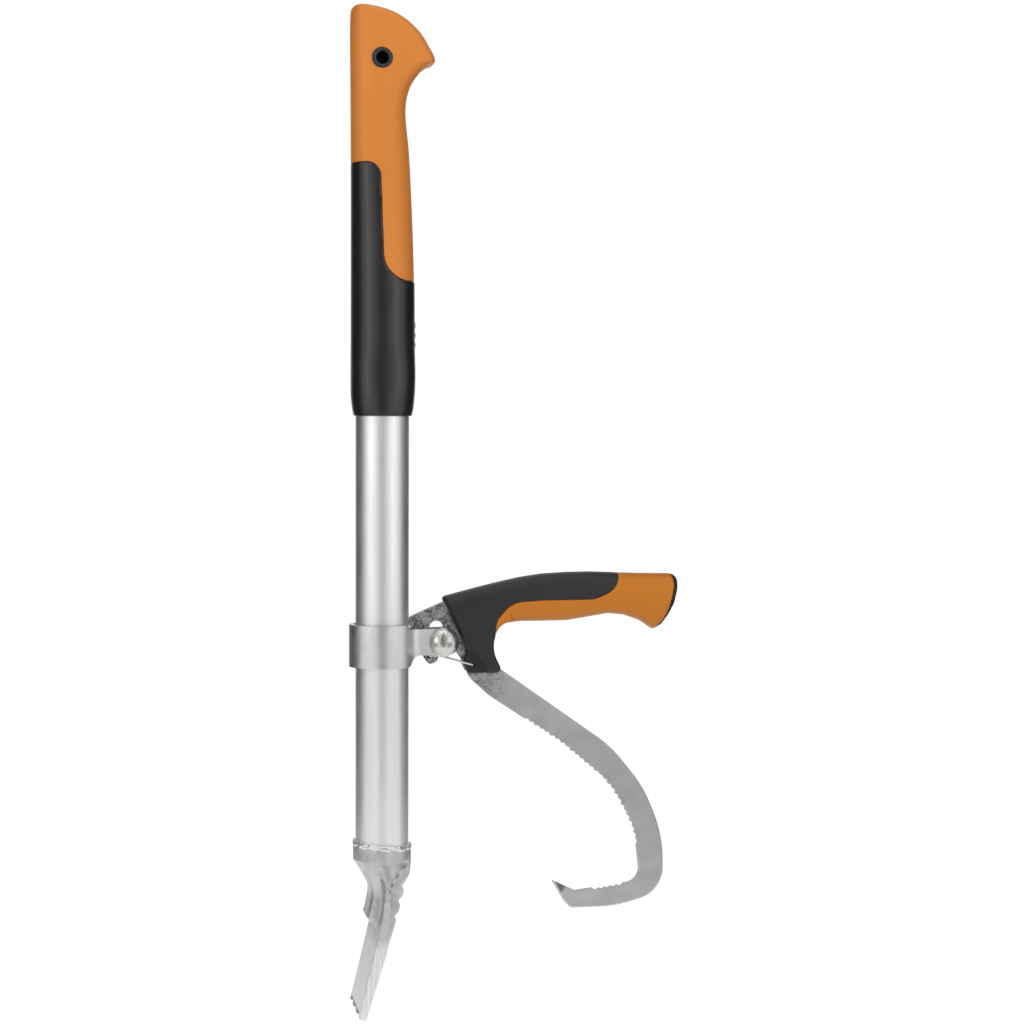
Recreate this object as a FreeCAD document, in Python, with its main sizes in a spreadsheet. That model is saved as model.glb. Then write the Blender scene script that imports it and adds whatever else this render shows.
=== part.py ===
import FreeCAD, Part

# Felling lever: a steel tube with a grip and a forged toothed shoe, and a clamp that slides on the tube
# and carries a turning hook with its own handle.
# Frame: origin at the middle of the hang hole. +Z is up along the tube, +X points
# to the hook, and the hinge pins lie along Y, with -Y as the front. Lengths are millimetres.

import os
from math import acos, cos, pi, radians, sin, sqrt, tan
from types import SimpleNamespace

import Sketcher
from FreeCAD import Placement, Rotation, Vector

# Driving dimensions. Each becomes a cell of the sheet, with its name as the cell's alias.
SIZES = {
    # shaft tube, whose axis passes the hang hole by axis_x
    "axis_x": 2.4,
    "tube_radius": 20.4,
    "tube_wall": 2.0,
    "tube_top_gap": 2.7,
    "tube_inset": 10.4,
    # main grip
    "grip_top_rise": 42.3,
    "grip_length": 311.5,
    "grip_radius": 25.1,
    "spigot_clearance": 0.1,
    "spigot_length": 62.0,
    "stem_radius": 15.5,
    "stem_offset": 3.0,
    "grip_pin_radius": 3.0,
    "grip_pin_inset": 30.0,
    "grip_pin_sink": 0.3,
    "rib_count": 3,
    "rib_radius": 4.6,
    "rib_height": 0.1,
    "rib_pitch": 7.4,
    "rib_half_width": 4.0,
    "rib_drop": 207.5,
    # hang eyelet
    "hang_hole_radius": 3.0,
    "eyelet_sleeve_radius": 5.2,
    "eyelet_flange_radius": 8.0,
    "eyelet_flange_height": 1.4,
    "eyelet_mouth_radius": 4.6,
    "eyelet_mouth_depth": 3.5,
    "eyelet_face": 20.3,
    # clamp collar
    "collar_clearance": 1.6,
    "strap_thickness": 3.5,
    "band_top_drop": 428.1,
    "band_height": 32.4,
    "band_corner": 4.0,
    "ear_half_height": 10.0,
    "ear_gap": 15.0,
    "ear_bend_radius": 8.0,
    "ear_top_root": 18.5,
    "ear_foot_root": 21.8,
    "ear_top_slant": 3.0,
    "ear_foot_slant": 4.5,
    "ear_upper_fillet": 4.4,
    "ear_lower_fillet": 8.0,
    # pivot
    "pivot_x": 48.9,
    "pivot_drop": 441.9,
    "shank_radius": 4.0,
    "shank_clearance": 0.1,
    "dome_radius": 11.2,
    "dome_height": 7.6,
    "dome_rim": 1.2,
    "washer_radius": 9.5,
    "washer_thickness": 1.5,
    "tail_radius": 7.0,
    "tail_height": 3.0,
    "bush_radius": 6.0,
    "bush_clearance": 0.05,
    "thrust_washer_thickness": 1.3,
    "thrust_washer_radius": 9.0,
    "guide_radius": 7.6,
    "side_play": 0.1,
    # torsion spring
    "wire_radius": 0.9,
    "coil_radius": 10.0,
    "coil_drop": 1.2,
    "coil_pitch": 2.3,
    "coil_turns": 2,
    "coil_ear_gap": 0.4,
    "leg_angle": 16.2,
    "leg_length": 27.5,
    "hook_leg_tip": 1.6,
    "stop_leg_length": 12.6,
    "stop_leg_proud": 1.0,
    "wire_bend": 2.2,
    # hook plate
    "plate_thickness": 6.0,
    "plate_front": 0.0,
    "hook_reach": 176.0,
    "hook_drop": 211.0,
    "nose_clearance": 0.35,
    "boss_radius": 10.4,
    "window_radius": 5.6,
    "window_back": 4.5,
    "window_rise": 9.9,
    "outer_bevel": 1.4,
    "tooth_depth": 1.35,
    "tooth_count": 28,
    "arm_tooth_depth": 1.9,
    "arm_tooth_count": 5,
    # hook handle
    "handle_length": 186.3,
    "handle_rise": 52.3,
    "handle_half": 14.0,
    "root_half": 13.3,
    "root_edge": 3.5,
    "recess_floor": 4.4,
    "tang_pin_radius": 2.5,
    "tang_pin_inset": 4.0,
    # felling shoe
    "socket_radius": 22.4,
    "socket_clearance": 0.1,
    "socket_mouth_drop": 598.3,
    "shoe_length": 129.2,
    "blade_width": 64.0,
    "blade_tooth_count": 4,
    "blade_tooth_depth": 8.0,
    "heel_half_width": 10.5,
    "weld_ring_radius": 20.8,
    "weld_radius": 1.9,
    "weld_tilt": 5.0,
    # one overrun serves every cut
    "overrun": 5.0,
}

# Outlines as shares of the sizes they follow. Each row of an edge holds two places and a corner radius.
# Grip sections, in stretches that each run smoothly: drop of the grip's length, then left, right and
# half depth of the grip's radius, and squareness of the section's left and right halves.
GRIP_SECTION_SHARES = (
    (
        (0.000, 0.860, -0.420, 0.500, 2.4, 3.0),
        (0.006, 0.940, -0.100, 0.640, 2.4, 3.6),
        (0.018, 0.972, 0.350, 0.720, 2.4, 4.4),
        (0.036, 0.982, 0.715, 0.760, 2.4, 5.0),
        (0.059, 0.986, 1.055, 0.785, 2.4, 5.0),
        (0.083, 0.986, 1.292, 0.800, 2.4, 5.0),
        (0.107, 0.984, 1.474, 0.809, 2.4, 5.0),
        (0.131, 0.982, 1.598, 0.813, 2.4, 5.0),
    ),
    ((0.142, 0.981, 1.588, 0.813, 2.4, 5.0),),
    (
        (0.152, 0.980, 1.294, 0.813, 2.4, 4.2),
        (0.169, 0.978, 1.072, 0.813, 2.4, 3.5),
        (0.189, 0.976, 0.894, 0.813, 2.4, 3.0),
        (0.217, 0.973, 0.751, 0.813, 2.4, 2.6),
        (0.254, 0.969, 0.687, 0.817, 2.4, 2.4),
        (0.326, 0.965, 0.761, 0.857, 2.3, 2.3),
        (0.422, 0.962, 0.850, 0.908, 2.2, 2.2),
        (0.522, 0.961, 0.911, 0.944, 2.1, 2.1),
        (0.618, 0.961, 0.954, 0.968, 2.1, 2.1),
        (0.717, 0.961, 0.978, 0.984, 2.1, 2.1),
        (0.833, 0.963, 0.984, 0.984, 2.1, 2.1),
        (0.949, 0.963, 0.984, 0.984, 2.1, 2.1),
    ),
    (
        (0.965, 0.944, 0.964, 0.960, 2.1, 2.1),
        (0.987, 0.908, 0.930, 0.926, 2.1, 2.1),
        (1.000, 0.868, 0.892, 0.884, 2.1, 2.1),
    ),
)

# Seam between core and soft grip: across of the grip's radius, drop of its length, corner radius of radius.
TONGUE_END_SHARE = 0.672
GRIP_SEAM_SHARES = (
    (-2.000, 0.385, 0.00),
    (-0.160, 0.385, 0.45),
    (-0.045, TONGUE_END_SHARE, 0.84),
    (2.000, TONGUE_END_SHARE, 0.00),
    (2.000, 1.100, 0.00),
    (-2.000, 1.100, 0.00),
)

# Hook plate: reach from the pivot of the hook's reach, drop of the hook's drop, corner radius of the drop.
HOOK_INNER_SHARES = (
    (0.091, 0.075, 0.040),
    (0.123, 0.138, 0.066),
    (0.211, 0.205, 0.190),
    (0.532, 0.382, 0.420),
    (0.766, 0.547, 0.400),
    (0.872, 0.722, 0.280),
    (0.897, 0.907, 0.052),
)
HOOK_POINT_SHARES = (
    (0.601, 0.938, 0.000),
    (0.494, 0.895, 0.000),
    (0.548, 0.973, 0.014),
)
HOOK_OUTER_SHARES = (
    (0.577, 1.000, 0.028),
    (0.780, 1.000, 0.450),
    (1.001, 0.950, 0.118),
    (0.999, 0.735, 0.500),
    (0.909, 0.555, 0.500),
    (0.759, 0.400, 0.500),
    (0.324, 0.144, 0.095),
)
HOOK_HEAD_SHARES = (
    (0.000, -0.140, 0.040),
    (-0.090, -0.108, 0.057),
)
NOSE_RISE_SHARES = (0.086, 0.055)
NOSE_CORNER_SHARE = 0.014
HOOK_LOBE_SHARES = (
    (-0.092, -0.038, 0.028),
    (-0.092, 0.046, 0.019),
    (-0.055, 0.090, 0.017),
    (-0.013, 0.068, 0.019),
    (-0.024, 0.042, 0.000),
    (0.052, 0.028, 0.000),
)
# Tang inside the handle: along the handle's length and up its rise, both from the pivot, corner of the rise.
TANG_SHARES = (
    (0.248, -0.436, 0.000),
    (0.182, -0.161, 0.113),
    (0.178, 0.250, 0.113),
    (0.227, 0.339, 0.081),
    (0.368, 0.452, 0.161),
    (0.806, 0.520, 0.077),
    (0.795, 0.815, 0.077),
    (0.151, 0.662, 0.121),
)
TANG_PIN_SHARES = (
    (0.400, 0.590),
    (0.720, 0.655),
)
# Toothed stretches: first and last tooth along the inner edge and along the arm that ends in the point.
INNER_TEETH_SHARES = (0.300, 0.870)
ARM_TEETH_SHARES = (0.310, 0.680)
TOOTH_GAP_SHARE = 0.53

# Handle root below the grip: along the handle's length and up the handle's rise, both from the pivot,
# corner of the rise. The edges between the hidden rows lie inside the handle's grip.
ROOT_SHOWN_SHARES = (
    (0.102, -0.130, 0.05),
    (0.086, -0.333, 0.05),
    (0.106, -0.478, 0.05),
    (0.251, -0.470, 0.07),
    (0.203, -0.130, 0.45),
    (0.229, 0.230, 0.25),
)
ROOT_HIDDEN_SHARES = (
    (0.290, 0.289, 0.00),
    (0.262, 0.470, 0.00),
    (0.210, 0.500, 0.00),
    (0.110, 0.400, 0.00),
    (0.039, 0.340, 0.00),
)
# Handle sections: along and rise of the top, along and rise of the foot, half thickness of the handle's.
HANDLE_SECTION_SHARES = (
    (0.001, 0.628, 0.074, 0.096, 0.740),
    (0.010, 0.660, 0.088, 0.076, 0.960),
    (0.080, 0.724, 0.140, 0.110, 0.960),
    (0.150, 0.788, 0.175, 0.160, 0.960),
    (0.208, 0.837, 0.208, 0.200, 0.960),
    (0.264, 0.883, 0.264, 0.248, 0.965),
    (0.328, 0.931, 0.328, 0.275, 0.975),
    (0.419, 0.978, 0.419, 0.275, 1.000),
    (0.527, 0.999, 0.527, 0.280, 1.000),
    (0.623, 1.003, 0.623, 0.334, 0.986),
    (0.700, 0.993, 0.700, 0.378, 0.971),
    (0.767, 0.983, 0.767, 0.354, 0.971),
    (0.833, 0.975, 0.833, 0.274, 0.986),
    (0.893, 0.971, 0.893, 0.134, 1.000),
    (0.927, 0.969, 0.927, 0.200, 1.000),
    (0.957, 0.968, 0.957, 0.346, 0.971),
    (0.978, 0.956, 0.978, 0.491, 0.900),
    (0.990, 0.918, 0.990, 0.673, 0.750),
)
# Seam between black body and orange inlay, with a corner radius as a share of the rise.
INLAY_SEAM_SHARES = (
    (0.420, 0.100, 0.00),
    (0.214, 0.100, 0.00),
    (0.220, 0.300, 0.25),
    (0.285, 0.570, 0.40),
    (0.430, 0.600, 0.60),
    (0.634, 0.603, 0.44),
    (0.735, 0.760, 0.34),
    (0.742, 1.200, 0.00),
    (1.200, 1.200, 0.00),
    (1.200, -0.300, 0.00),
    (0.420, -0.300, 0.00),
)
# Edge of the thinner place where the spring's leg lies.
RECESS_EDGE_SHARES = (
    (0.020, -0.000, 0.00),
    (0.062, -0.000, 0.00),
    (0.093, -0.086, 0.10),
    (0.139, -0.206, 0.60),
    (0.174, -0.361, 0.50),
    (0.191, -0.580, 0.00),
    (0.020, -0.580, 0.00),
)
END_CAP_EDGE_SHARES = (
    (0.960, 1.100, 0.00),
    (0.977, 0.820, 0.60),
    (0.944, 0.340, 0.60),
    (0.876, 0.060, 0.00),
    (1.200, 0.060, 0.00),
    (1.200, 1.100, 0.00),
)

# Shoe: across of the socket's radius, drop of the shoe's length below the socket's mouth.
HEEL_OUTLINE_SHARES = (
    (-0.221, 0.070),
    (0.985, 0.070),
    (0.985, 0.100),
    (0.893, 0.172),
    (0.810, 0.200),
    (0.647, 0.240),
    (0.718, 0.266),
    (0.663, 0.300),
    (0.517, 0.327),
    (0.589, 0.357),
    (0.531, 0.392),
    (0.384, 0.421),
    (0.451, 0.446),
    (0.388, 0.480),
    (0.176, 0.607),
    (-0.250, 0.745),
    (-0.150, 0.560),
    (-0.050, 0.300),
)
BLADE_OUTLINE_SHARES = (
    (-0.090, 0.300),
    (-0.115, 0.360, 0.60),
    (-0.215, 0.450, 0.60),
    (-0.959, 0.986),
    (-0.692, 1.000),
    (0.060, 0.578, 0.60),
    (0.045, 0.470, 0.60),
    (0.110, 0.360, 0.60),
    (0.145, 0.300),
)
# Shoe's sections: drop, then left, right and half width of the socket's radius, how far the half width
# goes on towards the blade's, and squareness.
SOCKET_HEIGHT_SHARE = 0.0855
FLARE_SECTION_SHARES = (
    (0.084, -0.985, 0.985, 0.990, 0.00, 2.0),
    (0.130, -0.640, 0.900, 0.990, 0.10, 2.1),
    (0.175, -0.310, 0.600, 1.000, 0.40, 2.5),
    (0.215, -0.140, 0.300, 1.000, 0.78, 3.6),
    (0.250, -0.100, 0.190, 1.000, 0.97, 5.0),
    (0.300, -0.104, 0.160, 1.000, 1.03, 6.0),
    (0.360, -0.080, 0.080, 1.000, 0.96, 6.0),
)
PAD_SECTION_SHARES = (
    (0.084, -0.985, 0.985, 0.990, 0.00, 2.0),
    (0.130, -0.826, 0.760, 0.970, 0.00, 2.1),
    (0.178, -0.660, 0.520, 0.920, 0.00, 2.3),
    (0.219, -0.526, 0.300, 0.860, 0.00, 2.8),
    (0.261, -0.456, 0.150, 0.820, 0.00, 4.0),
    (0.302, -0.458, 0.100, 0.800, 0.00, 5.5),
    (0.351, -0.510, 0.080, 0.800, 0.00, 6.0),
    (0.391, -0.568, 0.050, 0.800, 0.00, 6.0),
    (0.413, -0.605, 0.030, 0.800, 0.00, 6.0),
    (0.437, -0.507, 0.010, 0.800, 0.00, 6.0),
    (0.458, -0.350, -0.020, 0.800, 0.00, 6.0),
    (0.490, -0.200, -0.060, 0.800, 0.00, 6.0),
)
HANDLE_SQUARENESS = 2.5
SECTION_POINTS = 24

doc = FreeCAD.newDocument("FellingLever")
sheet = doc.addObject("Spreadsheet::Sheet", "Sizes")
for row, (alias, value) in enumerate(SIZES.items(), start=1):
    sheet.set(f"A{row}", alias)
    sheet.set(f"B{row}", str(value))
    sheet.setAlias(f"B{row}", alias)
doc.recompute()
s = SimpleNamespace(**{alias: sheet.get(alias) for alias in SIZES})

NEAR = 1e-6
FRONT = Vector(0, -1, 0)
BACK = Vector(0, 1, 0)
PLATE_BACK = s.plate_front + s.plate_thickness
PLATE_MIDDLE = s.plate_front + s.plate_thickness / 2
EAR_INSIDE = s.ear_gap / 2
EAR_OUTSIDE = EAR_INSIDE + s.strap_thickness
PIVOT = Vector(s.pivot_x, 0, -s.pivot_drop)
PIVOT_X = "Sizes.pivot_x"
PIVOT_Z = "-Sizes.pivot_drop"
BAND_INSIDE = s.tube_radius + s.collar_clearance
BAND_OUTSIDE = BAND_INSIDE + s.strap_thickness
COIL_MIDDLE = PIVOT - Vector(0, 0, s.coil_drop)
TUBE_TOP = f"(Sizes.grip_top_rise - {TONGUE_END_SHARE} * Sizes.grip_length - Sizes.tube_top_gap)"
TUBE_FOOT = "(-Sizes.socket_mouth_drop - Sizes.tube_inset)"
SOCKET_HEIGHT = f"{SOCKET_HEIGHT_SHARE} * Sizes.shoe_length"


def bind(feature, **expressions):
    """Bind properties to expressions; two underscores in a name stand for the dot of a sub-property."""
    for name, expression in expressions.items():
        feature.setExpression(name.replace("__", "."), expression)


def wire(name, shape):
    feature = doc.addObject("Part::Feature", name)
    feature.Shape = shape
    return feature


def rounded(corners, closed=True):
    """Wire in the XZ plane through corners (x, z, radius), with tangent arcs at the corners."""
    points = [Vector(x, 0, z) for x, z, radius in corners]
    starts = []
    ends = []
    arcs = []
    for index, corner in enumerate(corners):
        here = points[index]
        at_end = not closed and index in (0, len(corners) - 1)
        if at_end or corner[2] <= 0:
            starts.append(here)
            ends.append(here)
            arcs.append(None)
            continue
        to_last = (points[index - 1] - here).normalize()
        to_next = (points[(index + 1) % len(points)] - here).normalize()
        half_angle = acos(max(-1.0, min(1.0, to_last.dot(to_next)))) / 2
        reach = corner[2] / tan(half_angle)
        bisector = (to_last + to_next).normalize()
        starts.append(here + to_last * reach)
        ends.append(here + to_next * reach)
        middle = here + bisector * (corner[2] / sin(half_angle) - corner[2])
        arcs.append(Part.Arc(starts[-1], middle, ends[-1]))
    edges = []
    for index in range(len(points)):
        if arcs[index]:
            edges.append(arcs[index].toShape())
        if not closed and index == len(points) - 1:
            break
        following = (index + 1) % len(points)
        if (starts[following] - ends[index]).Length > NEAR:
            edges.append(Part.LineSegment(ends[index], starts[following]).toShape())
    return Part.Wire(edges)


def oval(centre, along, half_along, across, half_across, squareness, far_squareness=None):
    """Closed smooth curve, an ellipse at squareness 2 and nearer a rectangle above it. The half that lies
    on along's side may have a squareness of its own."""
    points = []
    for step in range(SECTION_POINTS):
        angle = 2 * pi * (step + 0.5) / SECTION_POINTS
        power = 2 / (far_squareness if far_squareness and cos(angle) > 0 else squareness)
        u = abs(cos(angle)) ** power * (1 if cos(angle) >= 0 else -1)
        v = abs(sin(angle)) ** power * (1 if sin(angle) >= 0 else -1)
        points.append(centre + along * (half_along * u) + across * (half_across * v))
    curve = Part.BSplineCurve()
    curve.interpolate(points, PeriodicFlag=True)
    return Part.Wire([curve.toShape()])


def loft(name, wires, smooth=False):
    feature = doc.addObject("Part::Loft", name)
    feature.Sections = [wire(f"{name}Section{number}", shape) for number, shape in enumerate(wires)]
    feature.Solid = True
    feature.Ruled = not smooth
    return feature


def extrude_y(name, shape, forward, back):
    """Solid from a wire in the XZ plane, forward along +Y and back along -Y by bound lengths."""
    feature = doc.addObject("Part::Extrusion", name)
    feature.Base = wire(f"{name}Outline", shape)
    feature.DirMode = "Custom"
    feature.Dir = BACK
    feature.Solid = True
    bind(feature, LengthFwd=forward, LengthRev=back)
    return feature


def cylinder(name, radius, height, x="Sizes.axis_x", y="0", z="0", turned=False):
    """Cylinder on the tube's axis unless x says otherwise, along +Z, or along +Y where it is turned."""
    feature = doc.addObject("Part::Cylinder", name)
    bind(feature, Radius=radius, Height=height)
    if turned:
        feature.Placement = Placement(Vector(), Rotation(Vector(1, 0, 0), -90))
    bind(feature, Placement__Base__x=x, Placement__Base__y=y, Placement__Base__z=z)
    return feature


def cut(name, base, tool):
    feature = doc.addObject("Part::Cut", name)
    feature.Base = base
    feature.Tool = tool
    return feature


def fuse(name, *shapes):
    feature = doc.addObject("Part::MultiFuse", name)
    feature.Shapes = list(shapes)
    return feature


def common(name, *shapes):
    feature = doc.addObject("Part::MultiCommon", name)
    feature.Shapes = list(shapes)
    return feature


def body(name):
    return doc.addObject("PartDesign::Body", name)


def sketch_on(owner, role, name):
    """Sketch of a body, on the body's own origin plane of that role."""
    plane = next(item for item in owner.Origin.OriginFeatures if item.Role == role)
    sketch = owner.newObject("Sketcher::SketchObject", name)
    sketch.AttachmentSupport = (plane, [""])
    sketch.MapMode = "FlatFace"
    return sketch


def polygon(sketch, corners):
    """Closed polygon whose corners are pairs of expressions, each fixed to the sketch's origin."""
    for number in range(len(corners)):
        place = Vector(number, number % 2, 0)
        sketch.addGeometry(Part.LineSegment(place, place + Vector(1, 1, 0)), False)
    for number, (across, up) in enumerate(corners):
        last = (number - 1) % len(corners)
        sketch.addConstraint(Sketcher.Constraint("Coincident", last, 2, number, 1))
    for number, (across, up) in enumerate(corners):
        for kind, expression in (("DistanceX", across), ("DistanceY", up)):
            index = sketch.addConstraint(Sketcher.Constraint(kind, -1, 1, number, 1, 1.0))
            sketch.setExpression(f"Constraints[{index}]", expression)


def turned_body(name, corners):
    """Body turned about the Z axis from a half section, given as pairs of expressions."""
    owner = body(name)
    sketch = sketch_on(owner, "XZ_Plane", f"{name}Profile")
    polygon(sketch, corners)
    turning = owner.newObject("PartDesign::Revolution", f"{name}Turning")
    turning.Profile = sketch
    turning.ReferenceAxis = (sketch, ["V_Axis"])
    turning.Angle = 360
    return owner


def aim(owner, x, y, z, direction):
    """Turn a body from the Z axis to a direction along Y, and bind its place to the sheet."""
    owner.Placement = Placement(Vector(), Rotation(Vector(0, 0, 1), direction))
    bind(owner, Placement__Base__x=x, Placement__Base__y=y, Placement__Base__z=z)


subparts = []


def finish(feature, label):
    feature.Label = label
    subparts.append(feature)
    return feature


def ring(label, name, outer, inner, height, y):
    """Ring round the pivot, from the place y along +Y."""
    outside = cylinder(f"{name}Outside", outer, height, PIVOT_X, y, PIVOT_Z, turned=True)
    bore = cylinder(f"{name}Bore", inner, height, PIVOT_X, y, PIVOT_Z, turned=True)
    return finish(cut(name, outside, bore), label)


def grip_place(across_share, drop_share):
    return s.axis_x + s.grip_radius * across_share, s.grip_top_rise - s.grip_length * drop_share


def hook_place(reach_share, drop_share, corner_share=0.0):
    x = s.pivot_x + s.hook_reach * reach_share
    z = -s.pivot_drop - s.hook_drop * drop_share
    return x, z, s.hook_drop * corner_share


def handle_place(along_share, rise_share, corner_share=0.0):
    x = s.pivot_x + s.handle_length * along_share
    z = -s.pivot_drop + s.handle_rise * rise_share
    return x, z, s.handle_rise * corner_share


def shoe_place(across_share, drop_share, corner_share=0.0):
    x = s.axis_x + s.socket_radius * across_share
    z = -s.socket_mouth_drop - s.shoe_length * drop_share
    return x, z, s.socket_radius * corner_share


def grip_pin_form(name, half_length):
    """Pin that crosses the spigot and the tube inside the soft grip, or the hole drilled for it."""
    return cylinder(
        name,
        "Sizes.grip_pin_radius",
        f"2 * ({half_length})",
        y=f"-({half_length})",
        z=f"{TUBE_TOP} - Sizes.grip_pin_inset",
        turned=True,
    )


def shaft_tube(pin_hole):
    """Round steel tube, from inside the grip down into the shoe's socket."""
    owner = body("Tube")
    sketch = sketch_on(owner, "XY_Plane", "TubeSection")
    for radius in ("Sizes.tube_radius", "Sizes.tube_radius - Sizes.tube_wall"):
        circle = sketch.addGeometry(Part.Circle(Vector(), Vector(0, 0, 1), s.tube_radius), False)
        sketch.addConstraint(Sketcher.Constraint("Coincident", circle, 3, -1, 1))
        index = sketch.addConstraint(Sketcher.Constraint("Radius", circle, s.tube_radius))
        sketch.setExpression(f"Constraints[{index}]", radius)
    pad = owner.newObject("PartDesign::Pad", "TubePad")
    pad.Profile = sketch
    bind(pad, Length=f"{TUBE_TOP} - {TUBE_FOOT}")
    bind(owner, Placement__Base__x="Sizes.axis_x", Placement__Base__z=TUBE_FOOT)
    finish(cut("DrilledTube", owner, pin_hole), "shaft_tube")


def grip_form():
    """Outer form of core and soft grip together, through ovals from the knob down to the tube."""
    stretches = []
    sections = []
    for number, rows in enumerate(GRIP_SECTION_SHARES):
        sections = sections[-1:]
        for drop, left, right, depth, left_squareness, right_squareness in rows:
            x, z = grip_place((right - left) / 2, drop)
            half = s.grip_radius * (right + left) / 2
            depth = s.grip_radius * depth
            squareness = (left_squareness, right_squareness)
            sections.append(oval(Vector(x, 0, z), Vector(1, 0, 0), half, BACK, depth, *squareness))
        stretches.append(loft(f"GripStretch{number}", sections, smooth=True))
    return fuse("GripForm", *stretches)


def eyelet_space(side, name):
    """Room of one eyelet half: the sleeve's hole and the flange's seat."""
    sleeve = cylinder(f"{name}Hole", "Sizes.eyelet_sleeve_radius", "Sizes.eyelet_face", x="0", turned=True)
    seat = cylinder(
        f"{name}Seat",
        "Sizes.eyelet_flange_radius",
        "Sizes.eyelet_flange_height + Sizes.overrun",
        x="0",
        y="Sizes.eyelet_face - Sizes.eyelet_flange_height",
        turned=True,
    )
    both = fuse(name, sleeve, seat)
    if side == FRONT:
        both.Placement = Placement(Vector(), Rotation(Vector(0, 0, 1), 180))
    return both


def grip(pin_hole):
    """Hard core with the knob, its tongue and its spigot, and the soft grip over it and the tube."""
    form = grip_form()
    seam_corners = []
    for across, drop, corner in GRIP_SEAM_SHARES:
        seam_corners.append((*grip_place(across, drop), s.grip_radius * corner))
    soft_side = extrude_y(
        "SoftSide",
        rounded(seam_corners),
        "Sizes.grip_radius + Sizes.overrun",
        "Sizes.grip_radius + Sizes.overrun",
    )
    seam_rise = grip_place(0, GRIP_SEAM_SHARES[0][1])[1]
    stem = cylinder(
        "Stem",
        "Sizes.stem_radius",
        f"({seam_rise}) - {TUBE_TOP} + Sizes.overrun",
        x="Sizes.axis_x - Sizes.stem_offset",
        z=TUBE_TOP,
    )
    spigot = cylinder(
        "Spigot",
        "Sizes.tube_radius - Sizes.tube_wall - Sizes.spigot_clearance",
        "Sizes.spigot_length",
        z=f"{TUBE_TOP} - Sizes.spigot_length",
    )
    hard = fuse("HardParts", cut("HardSide", form, soft_side), stem, spigot)
    eyelets = fuse("EyeletSpace", eyelet_space(FRONT, "FrontEyelet"), eyelet_space(BACK, "BackEyelet"))
    finish(cut("GripCore", cut("HardDrilled", hard, eyelets), pin_hole), "grip_core")

    ribs = []
    for number in range(int(s.rib_count)):
        step = number - (s.rib_count - 1) / 2
        ribs.append(
            cylinder(
                f"Rib{number}",
                "Sizes.rib_radius",
                "2 * Sizes.rib_half_width",
                x="Sizes.axis_x + Sizes.grip_radius + Sizes.rib_height - Sizes.rib_radius",
                y="-Sizes.rib_half_width",
                z=f"-Sizes.rib_drop + ({step}) * Sizes.rib_pitch",
                turned=True,
            )
        )
    tube_space = cylinder(
        "TubeSpace",
        "Sizes.tube_radius",
        "Sizes.grip_length",
        z=f"{TUBE_TOP} - Sizes.grip_length",
    )
    soft = fuse("SoftForm", common("SoftPart", form, soft_side), *ribs)
    finish(cut("SoftGrip", soft, fuse("SoftInside", stem, tube_space)), "soft_grip")
    finish(grip_pin_form("GripPin", "Sizes.tube_radius - Sizes.grip_pin_sink"), "grip_cross_pin")


def hang_eyelets():
    """Two flanged sleeves that line the hang hole and meet in its middle."""
    corners = (
        ("Sizes.hang_hole_radius", "0"),
        ("Sizes.eyelet_sleeve_radius", "0"),
        ("Sizes.eyelet_sleeve_radius", "Sizes.eyelet_face - Sizes.eyelet_flange_height"),
        ("Sizes.eyelet_flange_radius", "Sizes.eyelet_face - Sizes.eyelet_flange_height"),
        ("Sizes.eyelet_flange_radius", "Sizes.eyelet_face - Sizes.eyelet_flange_height / 3"),
        ("Sizes.eyelet_sleeve_radius + Sizes.eyelet_flange_height", "Sizes.eyelet_face"),
        ("Sizes.eyelet_mouth_radius", "Sizes.eyelet_face - Sizes.eyelet_flange_height / 2"),
        ("Sizes.eyelet_mouth_radius", "Sizes.eyelet_face - Sizes.eyelet_mouth_depth"),
        ("Sizes.hang_hole_radius", "Sizes.eyelet_face - Sizes.eyelet_mouth_depth"),
    )
    for side, label in ((FRONT, "hang_eyelet_front"), (BACK, "hang_eyelet_back")):
        half = turned_body(label.title().replace("_", ""), corners)
        aim(half, "0", "0", "0", side)
        finish(half, label)


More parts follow.
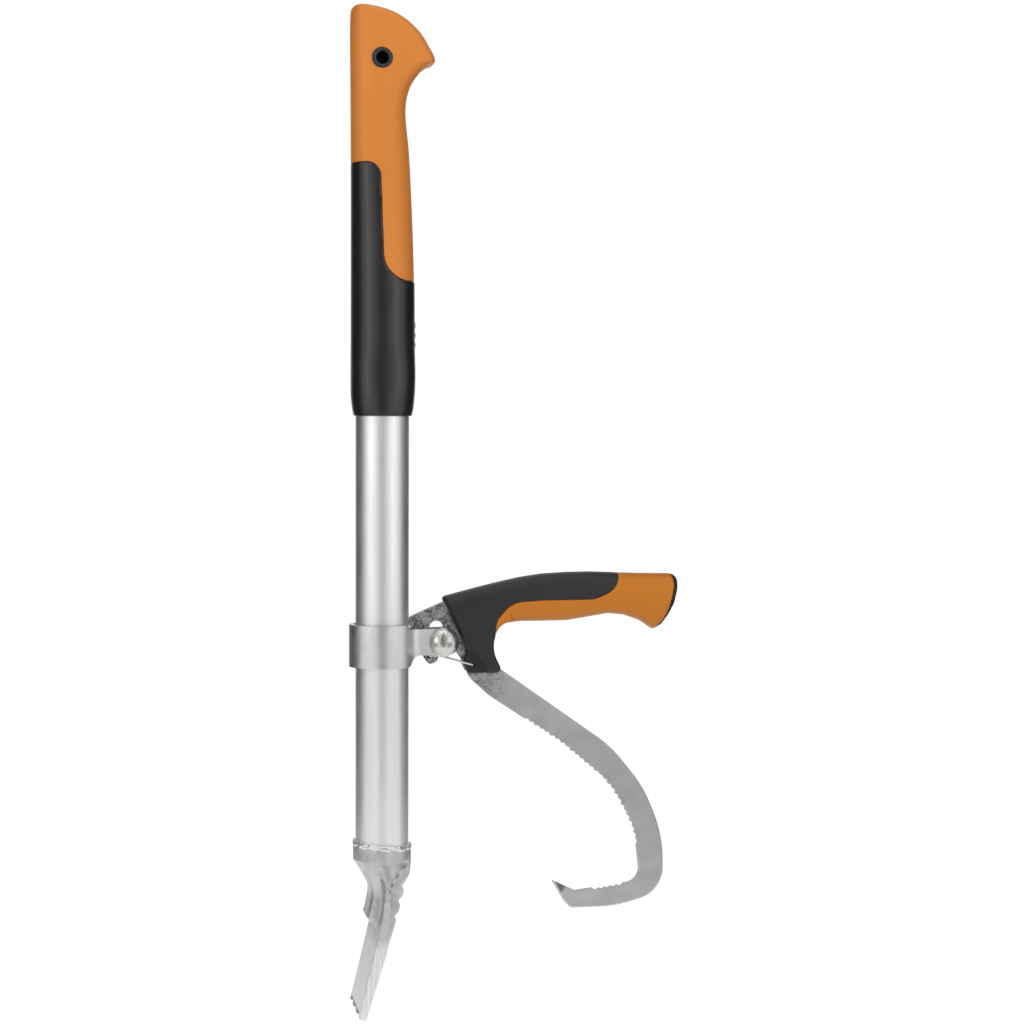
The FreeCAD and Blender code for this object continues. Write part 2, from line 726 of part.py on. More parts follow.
def collar_strap():
    """Strap bent round the tube, whose ends stand out as two ears with the pivot's hole."""
    band = cut(
        "Band",
        cylinder(
            "BandOutside",
            "Sizes.tube_radius + Sizes.collar_clearance + Sizes.strap_thickness",
            "Sizes.band_height",
            z="-Sizes.band_top_drop - Sizes.band_height",
        ),
        cylinder(
            "BandBore",
            "Sizes.tube_radius + Sizes.collar_clearance",
            "Sizes.band_height",
            z="-Sizes.band_top_drop - Sizes.band_height",
        ),
    )
    slot = doc.addObject("Part::Box", "EarSlot")
    bind(
        slot,
        Length="Sizes.tube_radius + Sizes.collar_clearance + Sizes.strap_thickness + Sizes.overrun",
        Width="Sizes.ear_gap",
        Height="Sizes.band_height",
        Placement__Base__x="Sizes.axis_x",
        Placement__Base__y="-Sizes.ear_gap / 2",
        Placement__Base__z="-Sizes.band_top_drop - Sizes.band_height",
    )
    ear_start = s.axis_x + sqrt(BAND_INSIDE**2 - EAR_INSIDE**2)
    ears = []
    for name, y in (("NearEar", -EAR_OUTSIDE), ("FarEar", EAR_INSIDE)):
        ear = doc.addObject("Part::Box", name)
        ear.Placement.Base = Vector(ear_start, y, -s.band_top_drop - s.band_height)
        bind(
            ear,
            Length=f"Sizes.pivot_x + Sizes.ear_half_height - ({ear_start})",
            Width="Sizes.strap_thickness",
            Height="Sizes.band_height",
        )
        ears.append(ear)
    strap = fuse("StrapBlank", cut("OpenBand", band, slot), *ears)
    doc.recompute()
    root = Vector(s.axis_x + sqrt(BAND_OUTSIDE**2 - EAR_OUTSIDE**2), EAR_OUTSIDE, 0)
    bends = []
    for number, edge in enumerate(strap.Shape.Edges, start=1):
        middle = edge.CenterOfMass
        upright = Vector(middle.x, abs(middle.y), 0)
        if (upright - root).Length < s.strap_thickness / 4:
            bends.append((number, s.ear_bend_radius, s.ear_bend_radius))
    bent = doc.addObject("Part::Fillet", "BentStrap")
    bent.Base = strap
    bent.Edges = bends
    top = -s.band_top_drop
    foot = top - s.band_height
    ear_top = -s.pivot_drop + s.ear_half_height
    ear_foot = -s.pivot_drop - s.ear_half_height
    ear_end = s.pivot_x + s.ear_half_height
    ear_round = s.ear_half_height - s.side_play
    back = s.axis_x - BAND_OUTSIDE - s.overrun
    top_root = s.axis_x + s.ear_top_root
    foot_root = s.axis_x + s.ear_foot_root
    side = (
        (back, top, 0),
        (top_root - s.ear_top_slant / 2, top, s.band_corner),
        (top_root + s.ear_top_slant / 2, ear_top, s.ear_upper_fillet),
        (ear_end, ear_top, ear_round),
        (ear_end, ear_foot, ear_round),
        (foot_root + s.ear_foot_slant / 2, ear_foot, s.ear_lower_fillet),
        (foot_root - s.ear_foot_slant / 2, foot, s.band_corner),
        (back, foot, 0),
    )
    reach = "Sizes.tube_radius + Sizes.collar_clearance + Sizes.strap_thickness + Sizes.overrun"
    shaped = common("ShapedStrap", bent, extrude_y("StrapSide", rounded(side), reach, reach))
    hole = cylinder(
        "EarHoles",
        "Sizes.shank_radius + Sizes.shank_clearance",
        f"2 * ({EAR_OUTSIDE} + Sizes.overrun)",
        x=PIVOT_X,
        y=f"-({EAR_OUTSIDE} + Sizes.overrun)",
        z=PIVOT_Z,
        turned=True,
    )
    finish(cut("CollarStrap", shaped, hole), "collar_strap")


def pivot_rivet():
    """Domed head in front, shank through both ears, and the closed end behind the washer."""
    head = EAR_OUTSIDE
    tail = -EAR_OUTSIDE - s.washer_thickness
    crown = head + s.dome_height
    rim = head + s.dome_rim
    rise = crown - rim
    sphere = (s.dome_radius**2 + rise**2) / (2 * rise)
    sweep = acos((sphere - rise) / sphere) / 2
    shoulder = Vector(sphere * sin(sweep), 0, crown - sphere + sphere * cos(sweep))
    places = [
        Vector(s.dome_radius, 0, rim),
        Vector(s.dome_radius, 0, head),
        Vector(s.shank_radius, 0, head),
        Vector(s.shank_radius, 0, tail),
        Vector(s.tail_radius, 0, tail),
        Vector(s.tail_radius, 0, tail - s.tail_height / 2),
        Vector(s.shank_radius, 0, tail - s.tail_height),
        Vector(0, 0, tail - s.tail_height),
        Vector(0, 0, crown),
    ]
    edges = [Part.Arc(places[-1], shoulder, places[0]).toShape()]
    for start, end in zip(places[:-1], places[1:]):
        edges.append(Part.LineSegment(start, end).toShape())
    rivet = doc.addObject("Part::Revolution", "Rivet")
    rivet.Source = wire("RivetProfile", Part.Wire(edges))
    rivet.Axis = Vector(0, 0, 1)
    rivet.Solid = True
    aim(rivet, PIVOT_X, "0", PIVOT_Z, FRONT)
    finish(rivet, "pivot_rivet")


def pivot_stack():
    """Bush, spacer, washers: what lies on the rivet's shank between and behind the ears."""
    bore = "Sizes.shank_radius + Sizes.shank_clearance"
    on_bush = "Sizes.bush_radius + Sizes.bush_clearance"
    ring("pivot_bush", "Bush", "Sizes.bush_radius", bore, "Sizes.ear_gap", "-Sizes.ear_gap / 2")
    ring("rivet_washer", "Washer", "Sizes.washer_radius", bore, "Sizes.washer_thickness", str(EAR_OUTSIDE))
    ring(
        "spring_guide",
        "Guide",
        "Sizes.guide_radius",
        on_bush,
        "Sizes.plate_front + Sizes.ear_gap / 2 - 2 * Sizes.side_play",
        "Sizes.side_play - Sizes.ear_gap / 2",
    )
    ring(
        "thrust_washer",
        "ThrustWasher",
        "Sizes.thrust_washer_radius",
        on_bush,
        "Sizes.thrust_washer_thickness",
        "Sizes.ear_gap / 2 - Sizes.side_play - Sizes.thrust_washer_thickness",
    )


def circular_arc(start, corner, end):
    """Arc that leaves start and reaches end towards and from the corner, both as far from it."""
    chord_middle = (start + end) / 2
    half_chord = (end - start).Length / 2
    to_corner = corner - chord_middle
    half_turn = acos(half_chord / sqrt(half_chord**2 + to_corner.Length**2))
    sagitta = half_chord * tan(half_turn / 2)
    return Part.Arc(start, chord_middle + to_corner.normalize() * sagitta, end)


def biarc(start, start_way, end, end_way):
    """Two tangent arcs from start to end with the ways given at both."""
    chord = end - start
    ways = start_way + end_way
    turn = 2 * (1 - start_way.dot(end_way))
    reach = (sqrt(chord.dot(ways) ** 2 + turn * chord.dot(chord)) - chord.dot(ways)) / turn
    first_corner = start + start_way * reach
    second_corner = end - end_way * reach
    joint = (first_corner + second_corner) / 2
    return circular_arc(start, first_corner, joint), circular_arc(joint, second_corner, end)


def torsion_spring():
    """Coil round the guide, one leg under the near ear's lower edge and one across the handle's root."""
    near = -EAR_INSIDE + s.coil_ear_gap + s.wire_radius
    leave = -pi / 2 - radians(s.leg_angle)
    start_angle = -pi / 2
    turns = s.coil_turns - s.leg_angle / 360
    far = near + s.coil_pitch * turns
    slope = s.coil_pitch / (2 * pi * s.coil_radius)

    def coil_place(turn):
        angle = start_angle + 2 * pi * turn
        across = Vector(cos(angle), 0, sin(angle)) * s.coil_radius
        return COIL_MIDDLE + across + BACK * (far - s.coil_pitch * turn)

    def coil_way(turn, climb):
        angle = start_angle + 2 * pi * turn
        return Vector(-sin(angle), -climb, cos(angle)).normalize()

    start = coil_place(0)
    end = coil_place(turns)
    out = Vector(cos(leave + pi / 2), 0, sin(leave + pi / 2))
    stop_corner = start - Vector(s.stop_leg_length, 0, 0)
    stop_end = Vector(stop_corner.x, -EAR_OUTSIDE - s.stop_leg_proud, stop_corner.z)
    tip_corner = end + out * s.leg_length
    tip_end = tip_corner + BACK * (s.wire_bend + s.hook_leg_tip)
    edges = [Part.LineSegment(stop_end, stop_corner + FRONT * s.wire_bend)]
    bend_start = stop_corner + FRONT * s.wire_bend
    edges.append(circular_arc(bend_start, stop_corner, stop_corner + Vector(s.wire_bend, 0, 0)))
    edges.append(Part.LineSegment(stop_corner + Vector(s.wire_bend, 0, 0), start))
    steps = int(4 * s.coil_turns)
    for step in range(steps):
        first = turns * step / steps
        second = turns * (step + 1) / steps
        first_climb = 0 if step == 0 else slope
        second_climb = 0 if step == steps - 1 else slope
        first_way = coil_way(first, first_climb)
        second_way = coil_way(second, second_climb)
        edges += biarc(coil_place(first), first_way, coil_place(second), second_way)
    bend_start = tip_corner - out * s.wire_bend
    edges.append(Part.LineSegment(end, bend_start))
    edges.append(circular_arc(bend_start, tip_corner, tip_corner + BACK * s.wire_bend))
    edges.append(Part.LineSegment(tip_corner + BACK * s.wire_bend, tip_end))
    path = Part.Wire([edge.toShape() for edge in edges])
    section = Part.Wire([Part.Circle(stop_end, BACK, s.wire_radius).toShape()])
    spring = doc.addObject("Part::Feature", "Spring")
    spring.Shape = path.makePipeShell([section], True, False)
    finish(spring, "torsion_spring")
    report_spring(path, spring.Shape)


def report_spring(path, solid):
    """Print the spring's volume against its section times its length, and its least gap to itself."""
    points = path.discretize(Number=600)
    step = path.Length / (len(points) - 1)
    apart = int(pi * s.coil_radius / step)
    least = min((p - q).Length for i, p in enumerate(points) for q in points[i + apart :])
    ratio = solid.Volume / (pi * s.wire_radius**2 * path.Length)
    print(f"torsion spring: volume ratio {ratio:.4f}, least gap {least - 2 * s.wire_radius:.2f}")


def hook_corners():
    nose_x = s.axis_x + s.tube_radius + s.nose_clearance
    nose_corner = s.hook_drop * NOSE_CORNER_SHARE
    corners = [hook_place(*corner) for corner in HOOK_INNER_SHARES + HOOK_POINT_SHARES + HOOK_OUTER_SHARES]
    corners += [handle_place(*corner) for corner in TANG_SHARES]
    corners += [hook_place(*corner) for corner in HOOK_HEAD_SHARES]
    corners += [(nose_x, -s.pivot_drop + s.hook_drop * rise, nose_corner) for rise in NOSE_RISE_SHARES]
    return corners + [hook_place(*corner) for corner in HOOK_LOBE_SHARES]


def tooth_gaps(name, path, first_share, last_share, count, depth):
    """Round cutters on the open side of a path, whose arcs leave pointed teeth along it."""
    points = path.discretize(Number=400)
    last = len(points) - 1
    pitch = path.Length * (last_share - first_share) / (count - 1)
    half_gap = pitch * TOOTH_GAP_SHARE
    radius = (half_gap**2 + depth**2) / (2 * depth)
    cutters = []
    for number in range(count):
        share = first_share + (last_share - first_share) * number / (count - 1)
        index = int(round(last * share))
        along = (points[min(last, index + 1)] - points[index - 1]).normalize()
        outward = Vector(along.z, 0, -along.x)
        centre = points[index] + outward * (radius - depth)
        base = Vector(centre.x, s.plate_front - s.overrun, centre.z)
        cutters.append(Part.makeCylinder(radius, s.plate_thickness + 2 * s.overrun, base, BACK))
    return wire(name, cutters[0].fuse(cutters[1:]))


def plate_cylinder(name, radius, x=PIVOT_X, z=PIVOT_Z):
    return cylinder(name, radius, "Sizes.plate_thickness", x=x, y="Sizes.plate_front", z=z, turned=True)


def cant_hook(pins):
    """Flat steel hook: toothed inner edge, point, cam head with nose and lobe, and the handle's tang."""
    blank = extrude_y(
        "HookBlank",
        rounded(hook_corners()),
        "Sizes.plate_front + Sizes.plate_thickness",
        "-Sizes.plate_front",
    )
    doc.recompute()
    outer_corners = [hook_place(*corner) for corner in HOOK_POINT_SHARES[1:] + HOOK_OUTER_SHARES]
    outer_path = rounded(outer_corners + [handle_place(*TANG_SHARES[0])], closed=False)
    bevelled = []
    for number, edge in enumerate(blank.Shape.Edges, start=1):
        middle = edge.valueAt((edge.FirstParameter + edge.LastParameter) / 2)
        flat = Part.Vertex(middle.x, 0, middle.z)
        in_face = min(abs(middle.y - s.plate_front), abs(middle.y - PLATE_BACK)) < NEAR
        if in_face and flat.distToShape(outer_path)[0] < s.side_play:
            bevelled.append((number, s.outer_bevel, s.outer_bevel))
    bevel = doc.addObject("Part::Chamfer", "HookBevel")
    bevel.Base = blank
    bevel.Edges = bevelled
    with_boss = fuse("HookWithBoss", bevel, plate_cylinder("HookBoss", "Sizes.boss_radius"))
    window = plate_cylinder(
        "WindowEnd",
        "Sizes.window_radius",
        x="Sizes.pivot_x - Sizes.window_back",
        z="-Sizes.pivot_drop + Sizes.window_rise",
    )
    inner_path = rounded([hook_place(*corner) for corner in HOOK_INNER_SHARES], closed=False)
    arm_start = hook_place(*HOOK_INNER_SHARES[-1])
    arm_end = hook_place(*HOOK_POINT_SHARES[0])
    arm_path = rounded([arm_start, arm_end], closed=False)
    tooth_count = int(s.tooth_count)
    inner_teeth = tooth_gaps("InnerTeeth", inner_path, *INNER_TEETH_SHARES, tooth_count, s.tooth_depth)
    arm_tooth_count = int(s.arm_tooth_count)
    arm_teeth = tooth_gaps("ArmTeeth", arm_path, *ARM_TEETH_SHARES, arm_tooth_count, s.arm_tooth_depth)
    bore = plate_cylinder("HookBore", "Sizes.bush_radius + Sizes.bush_clearance")
    removed = fuse("HookRemoved", inner_teeth, arm_teeth, bore, window, *pins)
    return finish(cut("CantHook", with_boss, removed), "cant_hook")


def tang_pins():
    """Two pins across the tang, short of the handle's surface, and their room in the other pieces."""
    pins = []
    for label, (along, rise) in zip(("tang_pin_inner", "tang_pin_outer"), TANG_PIN_SHARES):
        x, z, corner = handle_place(along, rise)
        pin = cylinder(
            label.title().replace("_", ""),
            "Sizes.tang_pin_radius",
            "2 * (Sizes.handle_half - Sizes.tang_pin_inset)",
            x=str(x),
            y=f"{PLATE_MIDDLE} - Sizes.handle_half + Sizes.tang_pin_inset",
            z=str(z),
            turned=True,
        )
        pins.append(finish(pin, label))
    return pins


def handle_form():
    """Whole handle: an oval grip that starts aslant over the hook plate, and a flat root below it."""
    root_back = f"{PLATE_MIDDLE} + Sizes.root_half"
    root_front = f"Sizes.root_half - {PLATE_MIDDLE}"
    hidden_corners = [handle_place(*corner) for corner in ROOT_HIDDEN_SHARES]
    hidden = rounded(hidden_corners, closed=False)
    root_wire = rounded([handle_place(*corner) for corner in ROOT_SHOWN_SHARES] + hidden_corners)
    root = extrude_y("RootBlank", root_wire, root_back, root_front)
    doc.recompute()
    rims = []
    for number, edge in enumerate(root.Shape.Edges, start=1):
        middle = edge.valueAt((edge.FirstParameter + edge.LastParameter) / 2)
        in_face = abs(abs(middle.y - PLATE_MIDDLE) - s.root_half) < NEAR
        flat = Part.Vertex(middle.x, 0, middle.z)
        if in_face and flat.distToShape(hidden)[0] > NEAR:
            rims.append((number, s.root_edge, s.root_edge))
    eased = doc.addObject("Part::Fillet", "RootEased")
    eased.Base = root
    eased.Edges = rims
    sections = []
    for top_along, top_rise, foot_along, foot_rise, half_share in HANDLE_SECTION_SHARES:
        x, z, corner = handle_place(top_along, top_rise)
        top = Vector(x, PLATE_MIDDLE, z)
        x, z, corner = handle_place(foot_along, foot_rise)
        foot = Vector(x, PLATE_MIDDLE, z)
        half_tall = (top - foot).Length / 2
        half = s.handle_half * half_share
        up = (top - foot).normalize()
        sections.append(oval((top + foot) / 2, up, half_tall, BACK, half, HANDLE_SQUARENESS))
    return fuse("HandleForm", eased, loft("HandleGrip", sections))


def through_handle(name, shares):
    """Region of the handle seen from the front, as a solid that passes right through it."""
    reach = "Sizes.root_half + Sizes.plate_thickness + Sizes.overrun"
    return extrude_y(name, rounded([handle_place(*corner) for corner in shares]), reach, reach)


def hook_handle(hook, pins):
    """Black body, orange inlay and black end cap, cut from one form along the two seams."""
    form = handle_form()
    inlay_side = through_handle("InlaySide", INLAY_SEAM_SHARES)
    cap_side = through_handle("CapSide", END_CAP_EDGE_SHARES)
    inside = fuse("HandleInside", hook, *pins)
    recess = extrude_y(
        "LegRecess",
        rounded([handle_place(*corner) for corner in RECESS_EDGE_SHARES]),
        "-Sizes.recess_floor",
        "Sizes.root_half + Sizes.overrun",
    )
    leg_out = radians(s.leg_angle)
    end_angle = -pi / 2 - leg_out
    coil_end = COIL_MIDDLE + Vector(cos(end_angle), 0, sin(end_angle)) * s.coil_radius
    tip = coil_end + Vector(cos(leg_out), 0, -sin(leg_out)) * s.leg_length
    socket = cylinder(
        "LegSocket",
        "Sizes.wire_radius + Sizes.coil_ear_gap",
        "Sizes.recess_floor",
        x=str(tip.x),
        y="-Sizes.recess_floor",
        z=str(tip.z),
        turned=True,
    )
    left_form = cut("BodyAndInlay", form, cap_side)
    body_form = cut("BodyForm", left_form, inlay_side)
    hollow = fuse("BodyHollow", inside, recess, socket)
    finish(cut("HandleBody", body_form, hollow), "hook_handle_body")
    finish(cut("HandleInlay", common("InlayForm", left_form, inlay_side), inside), "hook_handle_inlay")
    finish(common("HandleEndCap", form, cap_side), "hook_handle_end_cap")


def shoe_loft(name, shares):
    sections = []
    for drop, left, right, half_width, overhang, squareness in shares:
        x, z, corner = shoe_place((left + right) / 2, drop)
        half = s.socket_radius * (right - left) / 2
        width = s.socket_radius * half_width + (s.blade_width / 2 - s.socket_radius) * overhang
        sections.append(oval(Vector(x, 0, z), Vector(1, 0, 0), half, BACK, width, squareness))
    return loft(name, sections)


def felling_shoe():
    """Forged shoe: socket, pad that stands proud of the blade, serrated heel and toothed blade."""
    socket = cylinder(
        "Socket",
        "Sizes.socket_radius",
        f"{SOCKET_HEIGHT} + Sizes.socket_radius * sin(Sizes.weld_tilt)",
        z=f"-Sizes.socket_mouth_drop - {SOCKET_HEIGHT}",
    )
    mouth_trim = doc.addObject("Part::Cylinder", "MouthTrim")
    mouth_trim.Placement.Rotation = Rotation(BACK, s.weld_tilt)
    bind(
        mouth_trim,
        Radius="Sizes.socket_radius + Sizes.overrun",
        Height="2 * Sizes.overrun",
        Placement__Base__x="Sizes.axis_x",
        Placement__Base__z="-Sizes.socket_mouth_drop",
        Placement__Rotation__Angle="Sizes.weld_tilt",
    )
    half_blade = "Sizes.blade_width / 2"
    blade_wire = rounded([shoe_place(*corner) for corner in BLADE_OUTLINE_SHARES])
    blade = extrude_y("BladeWedge", blade_wire, half_blade, half_blade)
    foot = -s.socket_mouth_drop - s.shoe_length
    pitch = s.blade_width / (s.blade_tooth_count - 1)
    gaps = [Vector(-s.socket_radius * 2, -s.blade_width / 2, foot - s.overrun)]
    for number in range(int(s.blade_tooth_count)):
        y = -s.blade_width / 2 + pitch * number
        gaps.append(Vector(gaps[0].x, y, foot))
        if number < s.blade_tooth_count - 1:
            gaps.append(Vector(gaps[0].x, y + pitch / 2, foot + s.blade_tooth_depth))
    gaps.append(Vector(gaps[0].x, s.blade_width / 2, foot - s.overrun))
    zigzag = doc.addObject("Part::Extrusion", "BladeGaps")
    zigzag.Base = wire("BladeGapsOutline", Part.makePolygon(gaps + gaps[:1]))
    zigzag.DirMode = "Custom"
    zigzag.Dir = Vector(1, 0, 0)
    zigzag.Solid = True
    bind(zigzag, LengthFwd="4 * Sizes.socket_radius")
    heel_wire = rounded([shoe_place(*corner) for corner in HEEL_OUTLINE_SHARES])
    heel = extrude_y("HeelRib", heel_wire, "Sizes.heel_half_width", "Sizes.heel_half_width")
    around = cylinder(
        "HeelLimit",
        "Sizes.socket_radius",
        "Sizes.shoe_length",
        z="-Sizes.socket_mouth_drop - Sizes.shoe_length",
    )
    parts = fuse(
        "ShoeParts",
        cut("SocketAslant", socket, mouth_trim),
        shoe_loft("ShoeFlare", FLARE_SECTION_SHARES),
        shoe_loft("ShoePad", PAD_SECTION_SHARES),
        cut("ToothedBlade", blade, zigzag),
        common("Heel", heel, around),
    )
    bore = cylinder(
        "SocketBore",
        "Sizes.tube_radius + Sizes.socket_clearance",
        "Sizes.tube_inset + Sizes.overrun",
        z=TUBE_FOOT,
    )
    return finish(cut("FellingShoe", parts, bore), "felling_shoe")


def weld_bead(shoe):
    """Bead that fills the corner between the tube and the socket's mouth, a little aslant."""
    bead = doc.addObject("Part::Torus", "BeadRing")
    bead.Placement.Rotation = Rotation(BACK, s.weld_tilt)
    bind(
        bead,
        Radius1="Sizes.weld_ring_radius",
        Radius2="Sizes.weld_radius",
        Placement__Base__x="Sizes.axis_x",
        Placement__Base__z="-Sizes.socket_mouth_drop",
        Placement__Rotation__Angle="Sizes.weld_tilt",
    )
    tube_space = cylinder(
        "BeadBore",
        "Sizes.tube_radius",
        "Sizes.shoe_length",
        z="-Sizes.socket_mouth_drop - Sizes.shoe_length / 2",
    )
    finish(cut("WeldBead", cut("BeadOutside", bead, shoe), tube_space), "shoe_weld_bead")


grip_pin_hole = grip_pin_form("GripPinHole", "Sizes.tube_radius")
shaft_tube(grip_pin_hole)
weld_bead(felling_shoe())
grip(grip_pin_hole)
hang_eyelets()
collar_strap()
pivot_rivet()
pivot_stack()
torsion_spring()
handle_pins = tang_pins()
hook_handle(cant_hook(handle_pins), handle_pins)

doc.recompute()
faults = [item.Name for item in doc.Objects if {"Invalid", "Error"} & set(item.State)]
for feature in subparts:
    if feature.Shape.isNull() or not feature.Shape.isValid():
        faults.append(feature.Label)
if faults:
    raise SystemExit(f"not written, these failed: {', '.join(faults)}")
os.makedirs("parts", exist_ok=True)
for feature in subparts:
    feature.Shape.exportStep(f"parts/{feature.Label}.step")
    print(feature.Label, f"{feature.Shape.Volume:.0f} mm3, {len(feature.Shape.Solids)} solid")
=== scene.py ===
# Felling lever: a steel tube with a two-colour grip and a forged toothed foot, and a clamp that slides
# on the tube and carries a sprung log hook with its own handle.
# Frame: metres, origin at the middle of the hang hole, +Z up the tube, +X to the hook, -Y is the front.

from math import atan2, cos, pi, radians, sin

import bmesh
import bpy
from mathutils import Matrix, Vector


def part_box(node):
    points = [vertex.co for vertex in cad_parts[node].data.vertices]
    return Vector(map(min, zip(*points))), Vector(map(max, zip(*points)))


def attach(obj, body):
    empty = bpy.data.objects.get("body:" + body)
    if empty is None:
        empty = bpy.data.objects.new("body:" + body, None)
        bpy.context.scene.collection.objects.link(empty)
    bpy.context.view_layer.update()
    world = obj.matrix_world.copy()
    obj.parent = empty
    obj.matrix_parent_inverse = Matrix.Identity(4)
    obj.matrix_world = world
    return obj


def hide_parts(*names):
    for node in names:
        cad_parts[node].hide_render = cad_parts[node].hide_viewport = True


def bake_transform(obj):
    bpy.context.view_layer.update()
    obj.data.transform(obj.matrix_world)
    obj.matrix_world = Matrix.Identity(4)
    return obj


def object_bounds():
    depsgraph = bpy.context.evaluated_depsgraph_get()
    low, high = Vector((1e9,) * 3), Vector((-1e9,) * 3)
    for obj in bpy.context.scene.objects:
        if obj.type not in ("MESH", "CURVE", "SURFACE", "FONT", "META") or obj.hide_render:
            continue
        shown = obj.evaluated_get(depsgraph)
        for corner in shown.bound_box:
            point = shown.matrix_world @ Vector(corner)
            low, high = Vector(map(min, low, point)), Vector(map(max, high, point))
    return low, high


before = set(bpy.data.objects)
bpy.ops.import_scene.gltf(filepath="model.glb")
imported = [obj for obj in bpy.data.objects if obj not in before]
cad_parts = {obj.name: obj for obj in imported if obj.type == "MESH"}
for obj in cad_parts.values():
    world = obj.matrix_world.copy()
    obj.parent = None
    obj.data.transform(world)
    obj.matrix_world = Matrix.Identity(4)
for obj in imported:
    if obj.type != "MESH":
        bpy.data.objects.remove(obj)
cad_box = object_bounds()

MM = 0.001
TUBE_AXIS = Vector((2.4, 0.0, 0.0)) * MM
PIVOT = Vector((48.9, 0.0, -441.9)) * MM
HOOK_POINT = Vector((137.9, 0.0, -632.7)) * MM


# Camera, at the photograph's place and angle

CAMERA_PLACE = Vector((-209.1, -1771.1, -267.4)) * MM
CAMERA_TARGET = Vector((103.2, 0.0, -342.8)) * MM
CAMERA_ROLL = radians(0.19)
CAMERA_LENS = 81.9


def make_camera():
    """Camera aimed at the target, with its small roll about the line of sight."""
    sight = (CAMERA_TARGET - CAMERA_PLACE).normalized()
    right = sight.cross(Vector((0, 0, 1))).normalized()
    up = right.cross(sight)
    image_right = right * cos(CAMERA_ROLL) + up * sin(CAMERA_ROLL)
    image_up = up * cos(CAMERA_ROLL) - right * sin(CAMERA_ROLL)
    turn = Matrix((image_right, image_up, -sight)).transposed()
    data = bpy.data.cameras.new("front_camera")
    data.lens = CAMERA_LENS
    data.clip_start = 0.05
    camera = bpy.data.objects.new("front_camera", data)
    camera.matrix_world = Matrix.Translation(CAMERA_PLACE) @ turn.to_4x4()
    bpy.context.scene.collection.objects.link(camera)
    bpy.context.scene.camera = camera


# Helpers for materials

def colour(code):
    """Linear colour for a shader from an sRGB hex value."""
    channels = [int(code[i : i + 2], 16) / 255 for i in (1, 3, 5)]
    return [c / 12.92 if c <= 0.04045 else ((c + 0.055) / 1.055) ** 2.4 for c in channels] + [1.0]


def add(tree, kind, inputs=None, **settings):
    """Add a node with its settings, and give its inputs values or links."""
    node = tree.nodes.new(kind)
    for name, value in settings.items():
        setattr(node, name, value)
    for socket, value in (inputs or {}).items():
        if isinstance(value, bpy.types.NodeSocket):
            tree.links.new(value, node.inputs[socket])
        else:
            node.inputs[socket].default_value = value
    return node


def per_mm(size):
    """Texture scale, on coordinates in metres, of a pattern whose features are that many millimetres wide."""
    return 1 / (size * MM)


def start(name):
    """New material, its node tree, and the row frame's coordinates in it."""
    finish = bpy.data.materials.new(name)
    finish.use_nodes = True
    tree = finish.node_tree
    tree.nodes.clear()
    return finish, tree, add(tree, "ShaderNodeTexCoord").outputs["Object"]


def stretched(tree, place, across, along):
    """Coordinates that draw a pattern's features out: across in x and y, along in z, in millimetres."""
    scale = (per_mm(across), per_mm(across), per_mm(along))
    return add(tree, "ShaderNodeMapping", {"Vector": place, "Scale": scale}).outputs["Vector"]


def noise(tree, place, scale, detail=2.0, rough=0.5):
    """Cloudy pattern from nought to one."""
    inputs = {"Vector": place, "Scale": scale, "Detail": detail, "Roughness": rough}
    return add(tree, "ShaderNodeTexNoise", inputs).outputs["Fac"]


def spread(tree, value, low, high, to_low=0.0, to_high=1.0):
    """Map a value's range to another one, held at both ends."""
    inputs = {"Value": value, "From Min": low, "From Max": high, "To Min": to_low, "To Max": to_high}
    return add(tree, "ShaderNodeMapRange", inputs).outputs["Result"]


def blend_colour(tree, share, low, high):
    """Mix of two colours, each a hex value or a socket."""
    ends = [colour(end) if isinstance(end, str) else end for end in (low, high)]
    return add(tree, "ShaderNodeMix", {0: share, 6: ends[0], 7: ends[1]}, data_type="RGBA").outputs[2]


def calculate(tree, operation, *values):
    """One sum of sockets or numbers."""
    return add(tree, "ShaderNodeMath", dict(enumerate(values)), operation=operation).outputs[0]


def relief(tree, height, depth, under=None):
    """Bump whose height, from nought to one, stands for that many millimetres."""
    inputs = {"Height": height, "Distance": depth * MM, "Strength": 1.0}
    if under is not None:
        inputs["Normal"] = under
    return add(tree, "ShaderNodeBump", inputs).outputs["Normal"]


def done(finish, tree, **inputs):
    """Close a material with its shader; an underscore in an input's name stands for a space."""
    sockets = {name.replace("_", " "): value for name, value in inputs.items()}
    shader = add(tree, "ShaderNodeBsdfPrincipled", sockets)
    add(tree, "ShaderNodeOutputMaterial", {"Surface": shader.outputs["BSDF"]})
    return finish


def near_point(tree, place, point, clear, full):
    """Share that is one within full millimetres of a point and nought beyond clear."""
    inputs = {0: place, 1: point}
    away = add(tree, "ShaderNodeVectorMath", inputs, operation="DISTANCE").outputs["Value"]
    return spread(tree, away, clear * MM, full * MM)


# Materials

def drawn_tube_steel():
    """Cold-drawn steel tube with a satin zinc finish: soft upright reflections and faint draw lines."""
    finish, tree, place = start("drawn_tube_steel")
    lines = noise(tree, stretched(tree, place, 0.9, 70.0), 1.0, 3.0)
    clouds = noise(tree, stretched(tree, place, 9.0, 40.0), 1.0, 2.0)
    # small pits and specks a millimetre wide, one about every 14 mm
    specks = add(tree, "ShaderNodeTexVoronoi", {"Vector": place, "Scale": per_mm(14.0)}).outputs["Distance"]
    pits = spread(tree, specks, 0.03, 0.06)
    base = blend_colour(tree, spread(tree, lines, 0.3, 0.7), "#e2e4e5", "#e9eaeb")
    rough = spread(tree, clouds, 0.3, 0.7, 0.43, 0.49)
    normal = relief(tree, lines, 0.004, relief(tree, pits, 0.03))
    return done(finish, tree, Base_Color=base, Metallic=1.0, Roughness=rough, Normal=normal)


BLADE_TOP = -664.0 * MM
TOOTH_TOP = -720.5 * MM
BLEND_DEPTH = 9.0 * MM
TOOTH_BLEND = 1.5 * MM
